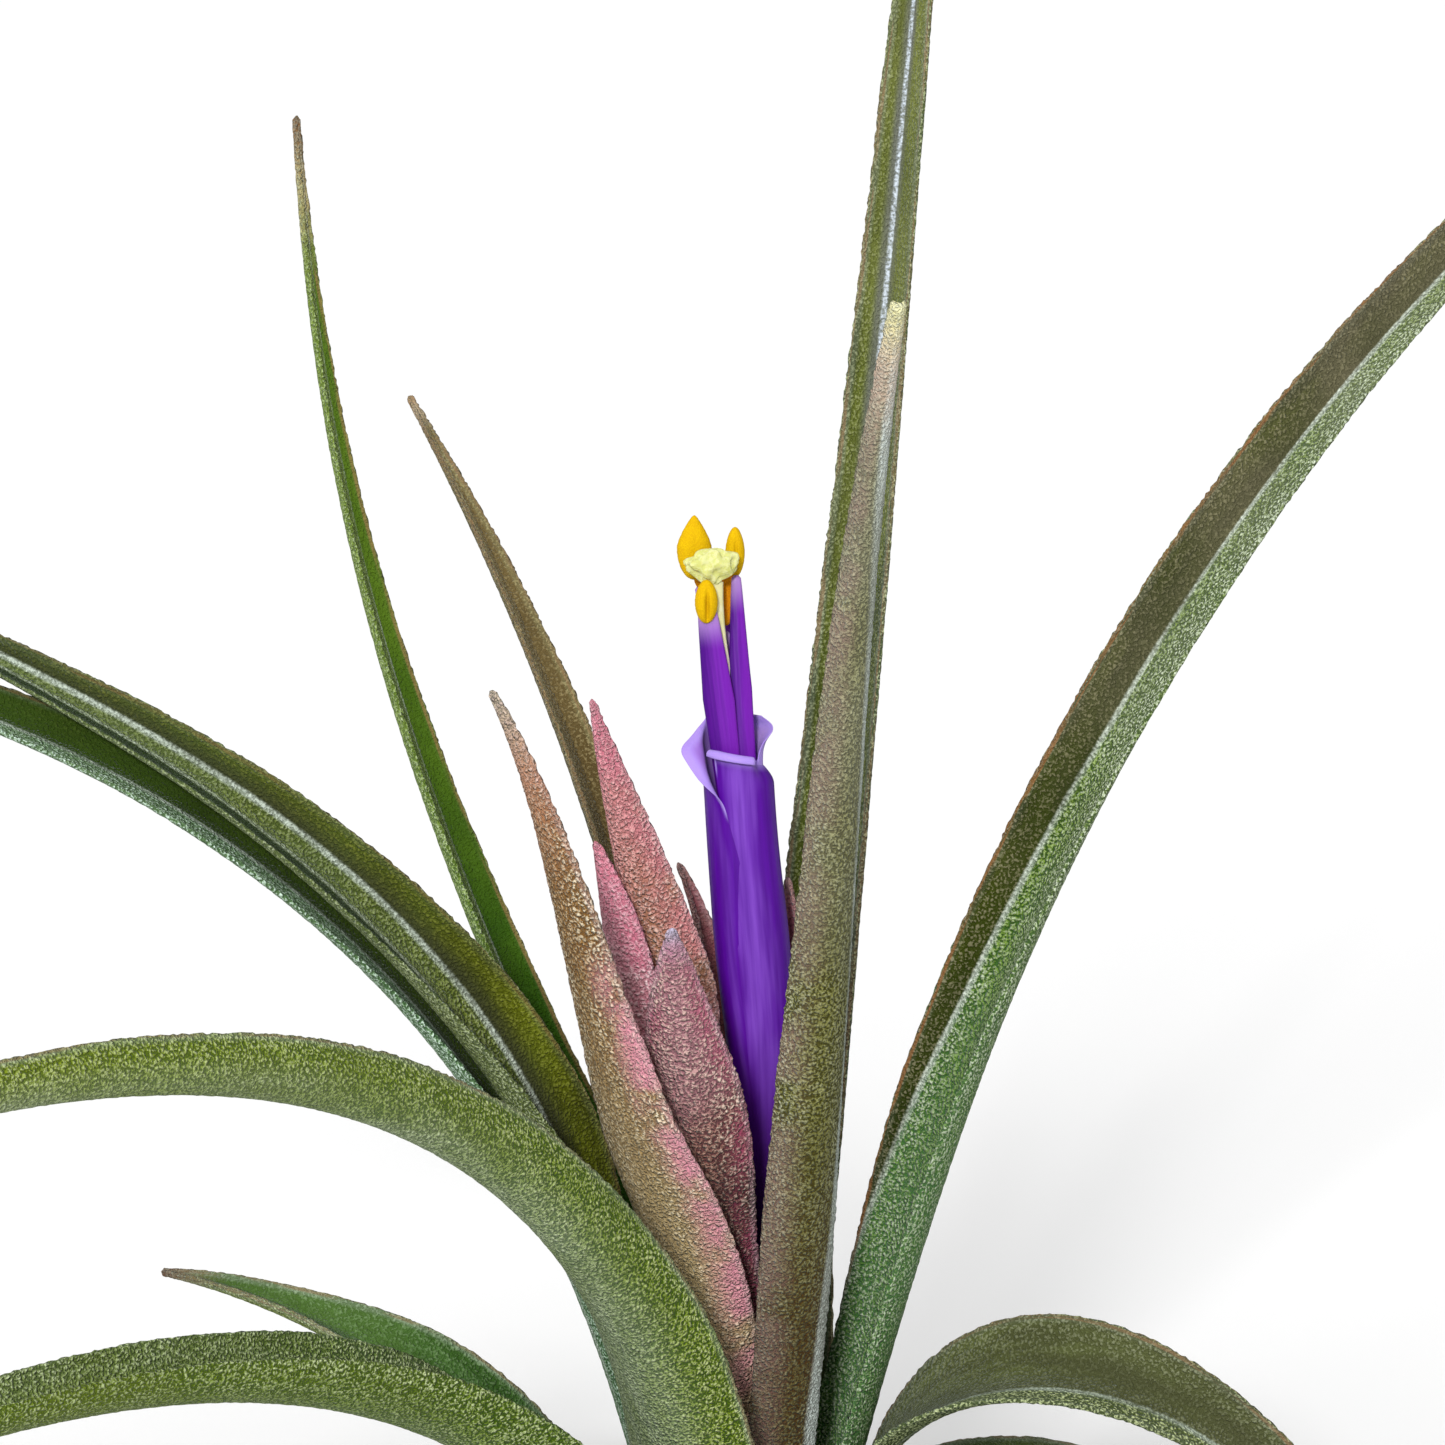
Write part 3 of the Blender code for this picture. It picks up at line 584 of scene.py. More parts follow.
class Coat(Enum):
    """The named finishes of leaves and bracts."""

    SILVER_GREEN = ScurfFinish()
    ARCH_GREEN = ScurfFinish(
        outer_deep=(64, 90, 2), outer_mid=(116, 138, 18), outer_pale=(184, 196, 134), outer_far=(122, 134, 34),
        outer_coat=0.75, frost_and_sheen=(190, 202, 182), frost_and_sheen_side=-1.0, frost_and_sheen_share=0.6, gap_shade=0.15,
    )
    OLIVE_FRONT = ScurfFinish(
        outer_deep=(72, 70, 12), outer_mid=(122, 122, 62), outer_pale=(182, 184, 152), outer_far=(150, 150, 122),
        inner_mid=(86, 92, 40), edge=(210, 220, 214), tip=(226, 196, 172), tip_end=(238, 232, 168), tip_length=12.0,
        foot=(74, 46, 18), foot_share=0.85, foot_length=38.0, edge_width=1.4, edge_full=0.9, edge_coat=1.0,
        line_share=0.0, edge_side=1.0, blush=(160, 126, 124), blush_share=0.45, blush_width=3.0, blush_side=-1.0,
        outer_coat=0.65, far_from=0.5,
    )
    TALL_OLIVE = ScurfFinish(
        outer_mid=(90, 96, 42), inner_deep=(34, 46, 0), inner_mid=(84, 94, 24), inner_pale=(148, 154, 106),
        inner_far=(116, 122, 62), inner_coat=0.45, groove_coat=1.0, groove_at=0.16, edge=(196, 206, 216),
        edge_coat=0.15,
    )
    LONG_RIGHT = ScurfFinish(
        outer_deep=(54, 88, 8), outer_mid=(122, 150, 54), outer_pale=(204, 216, 186), outer_far=(150, 154, 116),
        inner_deep=(36, 46, 0), inner_mid=(72, 82, 6), inner_pale=(140, 134, 106), inner_far=(106, 98, 80),
        inner_coat=0.4, edge=(204, 214, 200), foot=(80, 138, 76), foot_share=0.5, foot_length=60.0, near_edge=0.1,
        line_share=0.8, edge_line=(136, 92, 54), edge_coat=0.6, outer_coat=1.0,
    )
    # Its dark band on the inner face and the shadow beside the line are painted shade.
    DARK_CHANNEL = ScurfFinish(
        outer_deep=(66, 80, 10), outer_mid=(112, 124, 46), outer_pale=(178, 190, 146), outer_far=(104, 122, 70),
        outer_coat=0.7, shade_band_from=0.38, line_shadow=0.75, gap_shade=0.15,
        inner_deep=(58, 62, 0), inner_mid=(104, 112, 4), inner_pale=(136, 142, 60), inner_far=(72, 90, 30),
        inner_coat=0.3, edge=(196, 208, 194), near_edge=0.1, edge_line=(112, 84, 50), edge_coat=0.6,
    )
    PURPLE_CHANNEL = ScurfFinish(
        outer_deep=(64, 82, 24), outer_mid=(98, 110, 56), outer_far=(96, 104, 60), inner_deep=(60, 64, 34),
        inner_mid=(84, 92, 48), inner_pale=(136, 140, 112), inner_far=(70, 72, 46), inner_coat=0.4,
        near_edge=0.3,
    )
    BRIGHT_CHANNEL = ScurfFinish(
        outer_deep=(74, 108, 18), outer_mid=(122, 150, 62), outer_pale=(186, 204, 152), outer_far=(134, 156, 66),
        inner_deep=(22, 58, 0), inner_mid=(44, 84, 0), inner_pale=(100, 128, 50), inner_far=(84, 112, 22),
        inner_coat=0.04, outer_coat=0.6, near_edge=0.05, edge_line=(150, 112, 76), tip_length=13.0, tip=(200, 174, 126), edge_width=0.4,
    )
    SHORT_GREEN = ScurfFinish(
        outer_mid=(92, 120, 60), inner_deep=(34, 70, 14), inner_mid=(72, 108, 52), inner_pale=(130, 156, 112),
        inner_far=(76, 104, 44), inner_coat=0.35, tip=(120, 92, 56), tip_end=(110, 64, 40), tip_length=7.0,
    )
    # Its inner colours are the channel's green darkened with painted shade.
    UNDER_CHANNEL = ScurfFinish(
        outer_deep=(56, 100, 50), outer_mid=(112, 152, 100), outer_pale=(198, 222, 202), outer_far=(122, 148, 98),
        inner_deep=(32, 48, 0), inner_mid=(48, 64, 2), inner_pale=(110, 124, 60), inner_far=(52, 76, 16),
        inner_coat=0.08, edge=(196, 208, 194), near_edge=0.1, edge_line=(112, 84, 50), edge_coat=0.6,
    )
    LOW_GREEN = ScurfFinish(
        outer_deep=(58, 86, 0), outer_mid=(108, 132, 16), outer_pale=(186, 200, 146), near_edge=0.1,
        outer_coat=0.75, edge_coat=0.3, frost_and_sheen=(186, 200, 184), frost_and_sheen_side=-1.0, frost_and_sheen_share=0.2,
        gap_shade=0.15,
    )
    BROWN = ScurfFinish(
        outer_deep=(44, 28, 0), outer_mid=(72, 54, 14), outer_pale=(156, 142, 104), outer_far=(112, 96, 58),
        inner_deep=(34, 20, 0), inner_mid=(64, 46, 10), inner_pale=(150, 136, 96), inner_far=(108, 92, 54),
        inner_coat=0.55, tip=(196, 172, 148), tip_length=6.0, tip_end=(160, 120, 84), edge=(168, 166, 120),
    )
    LEAFY_BRACT = ScurfFinish(
        outer_deep=(84, 56, 12), outer_mid=(152, 128, 72), outer_pale=(242, 230, 200), outer_far=(158, 112, 56),
        inner_deep=(126, 88, 56), inner_mid=(150, 110, 76), edge=(220, 190, 190), blush=(228, 150, 168),
        blush_share=1.0, blush_width=3.2, blush_side=1.0, blush_until=40.0, tip=(196, 132, 98),
        tip_end=(196, 184, 158), tip_length=16.0,
        foot=(206, 182, 132), foot_share=0.65, foot_length=46.0, edge_width=0.4, scale_size=0.34, relief=1.0,
        line_share=0.0,
    )
    TOP_BRACT = ScurfFinish(
        outer_deep=(156, 82, 60), outer_mid=(222, 152, 138), outer_pale=(252, 222, 210), outer_far=(234, 160, 168),
        inner_deep=(160, 84, 84), inner_mid=(188, 116, 116), inner_pale=(218, 172, 172), edge=(228, 196, 200),
        blush=(214, 120, 146), blush_share=0.5, tip=(214, 116, 138), tip_end=(218, 130, 150), tip_length=8.0,
        foot=(158, 124, 64), foot_share=0.7, foot_length=46.0, foot_side=1.0, edge_width=0.4, scale_size=0.34,
        relief=1.0, line_share=0.0,
    )
    PINK_BRACT = ScurfFinish(
        outer_deep=(164, 90, 92), outer_mid=(226, 170, 174), outer_pale=(250, 222, 224), outer_far=(222, 154, 172),
        inner_deep=(176, 88, 92), inner_mid=(200, 116, 124), inner_pale=(222, 170, 176), inner_far=(204, 110, 124),
        edge=(228, 190, 200), blush=(214, 116, 142), blush_share=0.75, tip=(216, 116, 140), tip_end=(222, 130, 150),
        tip_length=8.0, foot=(196, 152, 146), foot_share=0.6, foot_length=26.0, edge_width=0.4, scale_size=0.34,
        relief=0.85, line_share=0.0,
    )
    ROSE_BRACT = ScurfFinish(
        outer_deep=(104, 52, 26), outer_mid=(168, 120, 86), outer_pale=(242, 220, 200), outer_far=(204, 148, 162),
        inner_deep=(96, 44, 56), inner_mid=(128, 74, 82), inner_pale=(176, 136, 140), inner_far=(140, 80, 96),
        edge=(214, 186, 196), blush=(170, 74, 106), blush_share=0.7, blush_width=2.2, tip=(192, 146, 170),
        tip_end=(196, 190, 214), tip_length=3.5, edge_width=0.5, scale_size=0.34, relief=1.0, line_share=0.0,
        foot=(62, 30, 40), foot_share=0.9, foot_length=26.0, foot_side=1.0,
    )
    DUSKY_BRACT = ScurfFinish(
        outer_deep=(108, 56, 46), outer_mid=(168, 106, 98), outer_pale=(216, 178, 166), outer_far=(150, 98, 90),
        inner_deep=(88, 44, 48), inner_mid=(122, 74, 74), inner_pale=(170, 132, 128), inner_far=(130, 82, 82),
        edge=(200, 168, 168), blush=(170, 92, 106), blush_share=0.5, blush_width=2.2, tip=(150, 104, 96),
        tip_end=(176, 138, 132), tip_length=3.0, edge_width=0.4, scale_size=0.34, relief=1.0, line_share=0.0,
    )


@dataclass
class Blade:
    """A thin curved sheet with two faces and rounded edges, closed all round.

    A subclass says where its middle surface runs. The sheet is one grid, wrapped from the
    inner face round one edge to the outer face and back round the other.
    """

    name: str
    row_step: float = 0.3
    column_step: float = 0.45
    rim_steps: int = 4
    seed: int = 1
    grain_outer: float = 0.0
    grain_inner: float = 0.0
    grain_edge: float = 0.0
    made: bpy.types.Object | None = field(default=None, repr=False)

    def counts(self) -> tuple[int, int]:
        """How many rows run along the sheet, and how many columns across one face."""
        raise NotImplementedError

    def middle(self, along: np.ndarray, across: np.ndarray) -> dict[str, np.ndarray]:
        """Where the middle surface runs.

        Args:
            along: places along the sheet, from 0 to 1.
            across: places across it, from -1 to 1.

        Returns:
            Arrays by row and column: "point", "side" (the unit vector across), "normal"
            (towards the inner face), "thickness", "run" (the distance across from the rib),
            "half" (the distance from the rib to the edge) and "travelled", in millimetres.
        """
        raise NotImplementedError

    def build(self) -> bpy.types.Object:
        """Adds the sheet as a mesh of its own.

        Returns:
            The new object, at the origin, with its place in its mesh.
        """
        rows, columns = self.counts()
        along = np.linspace(0.0, 1.0, rows)
        across = np.linspace(-1.0, 1.0, columns)
        data = self.middle(along, across)

        turn = np.linspace(math.pi / 2, -math.pi / 2, self.rim_steps + 2)[1:-1]
        steps = self.rim_steps
        column = np.concatenate([np.arange(columns), np.full(steps, columns - 1), np.arange(columns)[::-1],
                                 np.zeros(steps, int), [0]])
        up = np.concatenate([np.ones(columns), np.sin(turn), -np.ones(columns), -np.sin(turn), [1.0]])
        out = np.concatenate([np.zeros(columns), np.cos(turn), np.zeros(columns), -np.cos(turn), [0.0]])
        around = len(column)

        bpy.ops.object.select_all(action="DESELECT")
        bpy.ops.mesh.primitive_grid_add(x_subdivisions=around - 1, y_subdivisions=rows - 1, size=2.0)
        made = bpy.context.object
        made.name = self.name
        made.data.name = self.name
        mesh = made.data
        flat = np.empty(len(mesh.vertices) * 3, np.float32)
        mesh.vertices.foreach_get("co", flat)
        flat = flat.reshape(-1, 3)
        across_index = np.rint((flat[:, 0] + 1.0) / 2.0 * (around - 1)).astype(int)
        row = np.rint((flat[:, 1] + 1.0) / 2.0 * (rows - 1)).astype(int)
        col = column[across_index]

        ends = ((row > 0) & (row < rows - 1)).astype(float)
        height = up[across_index] * ends
        reach = out[across_index] * ends
        half = data["thickness"][row, col] / 2.0
        point = data["point"][row, col]
        normal = data["normal"][row, col]
        side = data["side"][row, col]
        random = np.random.default_rng(self.seed)
        rough = random.random((rows, around))
        rough[:, -1] = rough[:, 0]
        rough = rough[row, across_index] - 0.4
        grain = np.where(height > 0.5, self.grain_inner, self.grain_outer)
        to_edge = np.clip(data["half"][row, col] - np.abs(data["run"][row, col]), 0.0, None)
        grain = np.maximum(grain, self.grain_edge * np.exp(-((to_edge / 0.35) ** 2)))
        lift = half * height + rough * grain * ends * np.sign(height)
        push = half * reach + rough * grain * ends * np.sign(reach) * 1.2
        placed = point + normal * lift[:, None] + side * push[:, None]
        placed[:, 2] = np.maximum(placed[:, 2], 0.0)
        mesh.vertices.foreach_set("co", (placed * MM).astype(np.float32).ravel())

        travelled = data["travelled"][row]
        self.store(mesh, "inner", np.clip((height + 0.9) / 1.8, 0.0, 1.0) ** 2)
        self.store(mesh, "across", across[col])
        self.store(mesh, "along", along[row])
        for extra in ("band", "lip"):
            if extra in data:
                self.store(mesh, extra, data[extra][row, col])
        self.store(mesh, "to_edge", to_edge)
        self.store(mesh, "from_foot", travelled)
        self.store(mesh, "from_tip", data["travelled"].max() - travelled)
        skin = mesh.attributes.new("skin", "FLOAT_VECTOR", "POINT")
        values = np.stack([data["run"][row, col], travelled, height * 3.0 + self.seed * 7.0], axis=1)
        skin.data.foreach_set("vector", values.astype(np.float32).ravel())
        mesh.update()

        bpy.ops.object.mode_set(mode="EDIT")
        bpy.ops.mesh.select_all(action="SELECT")
        bpy.ops.mesh.remove_doubles(threshold=2e-7)
        bpy.ops.mesh.normals_make_consistent(inside=False)
        bpy.ops.object.mode_set(mode="OBJECT")
        bpy.ops.object.shade_smooth()
        self.made = made
        return made

    @staticmethod
    def store(mesh: bpy.types.Mesh, name: str, values: np.ndarray) -> None:
        """Stores one number for each point of a mesh, for the materials to read.

        Args:
            mesh: the mesh that takes them.
            name: what the materials call them.
            values: the numbers, in the order of the mesh's points.
        """
        attribute = mesh.attributes.new(name, "FLOAT", "POINT")
        attribute.data.foreach_set("value", values.astype(np.float32))

    def dress(self, material: bpy.types.Material, slot: str, *nodes: str) -> None:
        """Gives the sheet its material and its place in the part.

        Args:
            material: what it is made of.
            slot: the slot that the material stands for; not used.
            nodes: the solids that the sheet replaces.
        """
        self.made.data.materials.clear()
        self.made.data.materials.append(material)
        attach(self.made, BODY)
        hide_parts(*nodes)


@dataclass
class Leaf(Blade):
    """One leaf or bract, from a sheath that clasps the stem to a channelled, tapering blade."""

    rise: tuple[float, ...] = (70.0, 40.0, 0.0)
    heading: tuple[float, ...] = (0.0, 0.0, 0.0)
    length: float = 80.0
    sheath: float = 5.0
    blade: float = 5.0
    fold: float = 60.0
    twist: float = 0.0
    taper: float = 1.0
    thickness: float = 1.3
    sheath_length: float = 24.0
    seat: float = 0.0
    foot: tuple[float, ...] = ()
    radius: float = 0.0
    coat: Coat = Coat.SILVER_GREEN
    slot: str = "leaf"
    wave: float = 0.06
    band_side: float = 0.0
    band_from: tuple[float, ...] = (0.0,)
    tip_half: float = 0.12
    sway: float = 0.0
    late_twist: float = 0.0
    widths: tuple[float, ...] = (1.0,)

    SEAT_RADIUS = 2.9
    SEAT_PITCH = 0.93
    SEAT_HEIGHT = 15.5
    SEAT_DROP = 1.75
    SHEATH_THICKNESS = 0.6
    EDGE_THICKNESS = 0.34
    RIB_STEPS = 384

    def counts(self) -> tuple[int, int]:
        """How many rows run along the leaf, and how many columns across one face."""
        widest = 2.0 * max(self.sheath, self.blade * 0.9)
        return max(40, int(self.length / self.row_step)), max(13, int(widest / self.column_step) | 1)

    def start(self) -> np.ndarray:
        """Where the rib leaves the stem or the stalk."""
        if self.foot:
            return np.array(self.foot)
        around = math.radians(self.heading[0])
        radius = self.SEAT_RADIUS + self.SEAT_PITCH * self.seat
        height = self.SEAT_HEIGHT - self.SEAT_DROP * self.seat
        return np.array([radius * math.cos(around), radius * math.sin(around), height])

    def rib(self, along: np.ndarray) -> np.ndarray:
        """Points along the leaf's rib.

        Args:
            along: places along it, from 0 to 1.

        Returns:
            One point for each place.
        """
        middles = (np.arange(self.RIB_STEPS) + 0.5) / self.RIB_STEPS
        rise = np.radians(blend(self.rise, middles))
        heading = np.radians(blend(self.heading, middles))
        growth = np.stack([np.cos(rise) * np.cos(heading), np.cos(rise) * np.sin(heading), np.sin(rise)], axis=1)
        points = np.vstack([self.start(), self.start() + np.cumsum(growth * self.length / self.RIB_STEPS, axis=0)])
        marks = np.linspace(0.0, 1.0, len(points))
        points[:, 0] += self.sway * 6.75 * marks**2 * (1.0 - marks)
        return np.stack([np.interp(along, marks, points[:, axis]) for axis in range(3)], axis=1)

    def middle(self, along: np.ndarray, across: np.ndarray) -> dict[str, np.ndarray]:
        """Where the leaf's middle surface runs, as Blade.middle says.

        Args:
            along: places along the leaf, from 0 to 1.
            across: places across it, from -1 to 1.

        Returns:
            The arrays that Blade.middle names.
        """
        rise = np.radians(blend(self.rise, along))
        heading = np.radians(blend(self.heading, along))
        growth = np.stack([np.cos(rise) * np.cos(heading), np.cos(rise) * np.sin(heading), np.sin(rise)], axis=1)
        side = np.stack([-np.sin(heading), np.cos(heading), np.zeros_like(heading)], axis=1)
        inward = np.cross(growth, side)
        distance = along * self.length
        roll = math.radians(self.twist) * ease((distance - 0.4 * self.sheath_length) / (0.45 * self.length))
        cos, sin = np.cos(roll)[:, None], np.sin(roll)[:, None]
        side, inward = side * cos + inward * sin, inward * cos - side * sin

        opened = ease((distance - 0.35 * self.sheath_length) / (1.3 * self.sheath_length))
        concentric = self.radius or self.SEAT_RADIUS + self.SEAT_PITCH * self.seat
        tapering = self.blade * (1.0 - along**self.taper) + self.tip_half * along
        half = self.sheath * (1.0 - opened) + tapering * opened
        random = np.random.default_rng(self.seed + 100)
        phase = random.random(3) * 6.28
        ripple = sum(np.sin(distance / scale + p) for scale, p in zip((3.1, 5.7, 1.7), phase)) / 3.0
        half = half * (1.0 + self.wave * 0.3 * ripple * opened)
        places = np.linspace(0.0, 1.0, len(self.widths))
        offsets = (-0.04, -0.02, 0.0, 0.02, 0.04)
        half = half * sum(np.interp(along + o, places, self.widths) for o in offsets) / len(offsets)
        roll = math.radians(self.late_twist) * np.clip(along * 2.0 - 1.0, 0.0, 1.0) ** 1.2
        cos, sin = np.cos(roll)[:, None], np.sin(roll)[:, None]
        unturned = side
        side, inward = side * cos + inward * sin, inward * cos - side * sin
        hinge = (side - unturned) * half[:, None]
        turn = self.sheath / concentric * (1.0 - opened) + math.radians(self.fold) * opened
        sharpness = 1.0 - 0.45 * opened

        steps = np.linspace(0.0, 1.0, 49)
        slope = turn[:, None] * steps[None, :] ** sharpness[:, None]
        mean = (slope[:, 1:] + slope[:, :-1]) / 2.0
        zero = np.zeros((len(along), 1))
        run = np.hstack([zero, np.cumsum(np.cos(mean), axis=1)]) * half[:, None] / 48
        climb = np.hstack([zero, np.cumsum(np.sin(mean), axis=1)]) * half[:, None] / 48
        reach = np.abs(across)
        sign = np.sign(across)
        at = reach * 48
        low = np.clip(at.astype(int), 0, 47)
        part = at - low
        run = (run[:, low] * (1 - part) + run[:, low + 1] * part) * sign
        climb = climb[:, low] * (1 - part) + climb[:, low + 1] * part
        slope = (slope[:, low] * (1 - part) + slope[:, low + 1] * part) * sign

        centre = self.rib(along) + hinge
        point = centre[:, None, :] + run[..., None] * side[:, None, :] + climb[..., None] * inward[:, None, :]
        normal = np.cos(slope)[..., None] * inward[:, None, :] - np.sin(slope)[..., None] * side[:, None, :]
        tangent = np.cos(slope)[..., None] * side[:, None, :] + np.sin(slope)[..., None] * inward[:, None, :]
        rib_thick = self.SHEATH_THICKNESS * (1.0 - opened) + self.thickness * opened * (1.0 - 0.55 * along)
        edge_thick = self.EDGE_THICKNESS * (1.0 - 0.3 * along)
        thick = rib_thick[:, None] + (edge_thick - rib_thick)[:, None] * (reach[None, :] ** 2.2)
        arc = half[:, None] * across[None, :]
        band = np.full(arc.shape, -9.0)
        if self.band_side:
            band = (across[None, :] * self.band_side - np.interp(along, np.linspace(0.0, 1.0, len(self.band_from)), self.band_from)[:, None]) * half[:, None]
        return {
            "band": band,
            "point": point, "side": tangent, "normal": normal, "thickness": thick, "run": arc,
            "half": np.broadcast_to(half[:, None], arc.shape), "travelled": distance,
        }

    def finish(self) -> bpy.types.Object:
        """Builds and dresses the leaf.

        Returns:
            The leaf's object.
        """
        made = self.build()
        self.dress(self.coat.value.material(f"{self.name}_{self.coat.name.lower()}"), self.slot, self.name)
        return made


@dataclass
class Foliage:
    """The whole rosette and the bracts of the flower head."""

    hidden_step: float = 0.6

    FLOOR_LEAVES = (
        ("leaf_floor_back_right", 6, 52.0, 77.0),
        ("leaf_floor_front_right", 6, 292.0, 64.0),
        ("leaf_floor_right", 7, 335.0, 70.0),
        ("leaf_floor_back", 7, 98.0, 80.0),
        ("leaf_floor_front", 8, 262.0, 73.0),
        ("leaf_floor_back_left", 8, 150.0, 77.0),
        ("leaf_floor_right_back", 8, 22.0, 69.0),
    )

    def seen_leaves(self) -> list[Leaf]:
        """The leaves that rise over the floor, each with its own growth and finish."""
        coarse = self.hidden_step
        return [
            Leaf("leaf_tall_back", rise=(81, 72, 83, 70), heading=(62, 65, 69), length=167, sheath=3.2, blade=5.2,
                 fold=60, twist=1, seat=0, sway=-0.25, coat=Coat.TALL_OLIVE),
            Leaf("leaf_front_right", rise=(75, 69, 100, 59), heading=(282, 311, 280), length=93, sheath=2.5,
                 blade=3.65, fold=57, twist=-1, taper=1.6, seat=1.15, tip_half=0.5, sway=-0.35,
                 coat=Coat.OLIVE_FRONT),
            Leaf("leaf_behind_spike", rise=(82, 66, 50, 26), heading=(119, 131, 111), length=97, sheath=4.0,
                 blade=4.4, fold=63, twist=-1, seat=1, coat=Coat.BROWN),
            Leaf("leaf_tall_left", rise=(76, 34, 75, 86), heading=(141, 134, 140), length=111, sheath=3.8,
                 blade=3.8, fold=62, seat=2, coat=Coat.BRIGHT_CHANNEL, band_side=1,
                 band_from=(0.3, 0.15, 0.0)),
            Leaf("leaf_long_right", rise=(75, 78, 22, 28), heading=(11, 28, 28), length=168, sheath=5.0, blade=7.0,
                 fold=57, twist=45, seat=2, coat=Coat.LONG_RIGHT, band_side=-1,
                 band_from=(-1.2, -1.0, -0.5, -0.12, 0.08, 0.2, 0.3, 0.35, 0.4), sway=0.15,
                 widths=(1.0, 0.95, 0.86, 0.8, 0.84, 0.9, 0.98, 1.0, 1.0, 1.0, 1.0)),
            Leaf("leaf_long_left", rise=(73, 91, -13, 38), heading=(196, 181, 144), length=113, sheath=4.0,
                 blade=7.2, fold=69, twist=-47, taper=1.07, thickness=1.0, seat=3, coat=Coat.DARK_CHANNEL,
                 band_side=1, band_from=(-0.2, -0.35, -0.3)),
            Leaf("leaf_back_steep", coarse, rise=(76, 60, 26, 8), heading=(82, 83.5, 85), length=80, sheath=4.0,
                 blade=4.6, seat=3),
            Leaf("leaf_under_left", rise=(77, 80, -25, 25), heading=(190, 175, 160), length=133, sheath=4.0,
                 blade=5.6, fold=45, twist=-35, taper=1.1, seat=4, coat=Coat.UNDER_CHANNEL,
                 band_side=1, band_from=(0.3, 0.38, 0.42)),
            Leaf("leaf_low_right", rise=(109, 26, -108, -32), heading=(-20, -11, 2), length=72, sheath=4.6,
                 blade=6.8, fold=50, twist=66, taper=0.94, seat=5, coat=Coat.PURPLE_CHANNEL,
                 band_side=-1, band_from=(0.5, 0.55, 0.7)),
            Leaf("leaf_arch_left", rise=(73, 53, -49, -4), heading=(244, 223, 191), length=146, sheath=5.5,
                 blade=7.2, fold=89, twist=30, seat=5, coat=Coat.ARCH_GREEN),
            Leaf("leaf_back_arch", coarse, rise=(62, -22, -32, -24), heading=(102, 98, 91), length=78, sheath=5.0,
                 blade=5.0, seat=5),
            Leaf("leaf_short_left", rise=(68, 41, 20, -2), heading=(170, 175, 137), length=49, sheath=5.0,
                 blade=6.2, fold=64, twist=-18, taper=1.1, seat=6, coat=Coat.SHORT_GREEN),
            Leaf("leaf_low_left", rise=(70, 17, -31, -15), heading=(223, 222, 192), length=114, sheath=7.0,
                 blade=7.6, fold=80, twist=-10, seat=7, coat=Coat.LOW_GREEN, band_side=1, band_from=(-1.6,)),
        ]

    def floor_leaves(self) -> list[Leaf]:
        """The lowest leaves, which come down to the floor all round by one rule."""
        leaves = []
        for name, seat, heading, length in self.FLOOR_LEAVES:
            height = Leaf.SEAT_HEIGHT - Leaf.SEAT_DROP * seat
            leaves.append(Leaf(
                name, self.hidden_step, rise=(48.0, -24.0 - 3.3 * height, -22.0, -1.0),
                heading=(heading, heading - 7.0 / 3, heading - 7.0), length=length, sheath=5.4 + 0.5 * (seat - 6),
                blade=5.3, fold=61.0, seat=seat,
            ))
        return leaves

    def bracts(self) -> list[Leaf]:
        """The leafy bract and the five scurfy bracts of the flower head."""
        pink = {"thickness": 0.6, "sheath_length": 14.0, "slot": "bract", "row_step": 0.26, "column_step": 0.33}
        return [
            Leaf("bract_leafy", 0.3, 0.4, rise=(80, 43, 93, 65), heading=(236, 225, 174), length=64, sheath=3.0,
                 blade=11.1, fold=21, twist=3, taper=0.72, thickness=1.0, sheath_length=20.0, seat=-0.35,
                 late_twist=41, tip_half=0.2, sway=-0.45,
                 coat=Coat.LEAFY_BRACT, slot="bract"),
            Leaf("bract_front", rise=(64, 58, 76, 71), heading=(249, 238, 263), length=34, sheath=2.4, blade=5.1,
                 fold=38, twist=11, taper=2.5, foot=(-1.8, -2.6, 29.0), radius=3.0, coat=Coat.ROSE_BRACT, **pink),
            Leaf("bract_top", rise=(83, 83, 72, 83), heading=(197, 203, 210), length=42, sheath=2.6, blade=7.8,
                 fold=85, twist=2, taper=1.7, foot=(-5.6, -0.4, 33.0), radius=2.2, coat=Coat.TOP_BRACT, **pink),
            Leaf("bract_left", rise=(69, 88, 83, 79), heading=(205, 208, 215), length=30, sheath=1.8, blade=4.5,
                 fold=49, twist=1, taper=3.2, foot=(-7.2, -1.2, 35.0), radius=3.4, coat=Coat.PINK_BRACT, **pink),
            Leaf("bract_behind", rise=(80, 82, 85, 63), heading=(90, 140, 149), length=28, sheath=2.0, blade=2.7,
                 fold=61, twist=-1, taper=2.2, foot=(-2.4, 2.3, 34.0), radius=2.4, coat=Coat.DUSKY_BRACT, **pink),
            Leaf("bract_right", rise=(86, 85, 93, 102), heading=(51, 50, 50), length=31, sheath=2.4, blade=2.8,
                 fold=48, twist=1, taper=2.2, foot=(2.2, 3.2, 30.0), radius=3.4, coat=Coat.DUSKY_BRACT, **pink),
        ]

    def build(self) -> None:
        """Builds and dresses every leaf and bract."""
        for number, leaf in enumerate(self.seen_leaves() + self.floor_leaves() + self.bracts(), start=1):
            leaf.seed = number
            bract = leaf.slot == "bract"
            leaf.grain_outer = 0.07 if bract else 0.05
            leaf.grain_inner = 0.04 if bract else 0.02
            leaf.grain_edge = 0.13 if bract else 0.11
            made = leaf.finish()
            LOG.info("%s: %d faces", made.name, len(made.data.polygons))


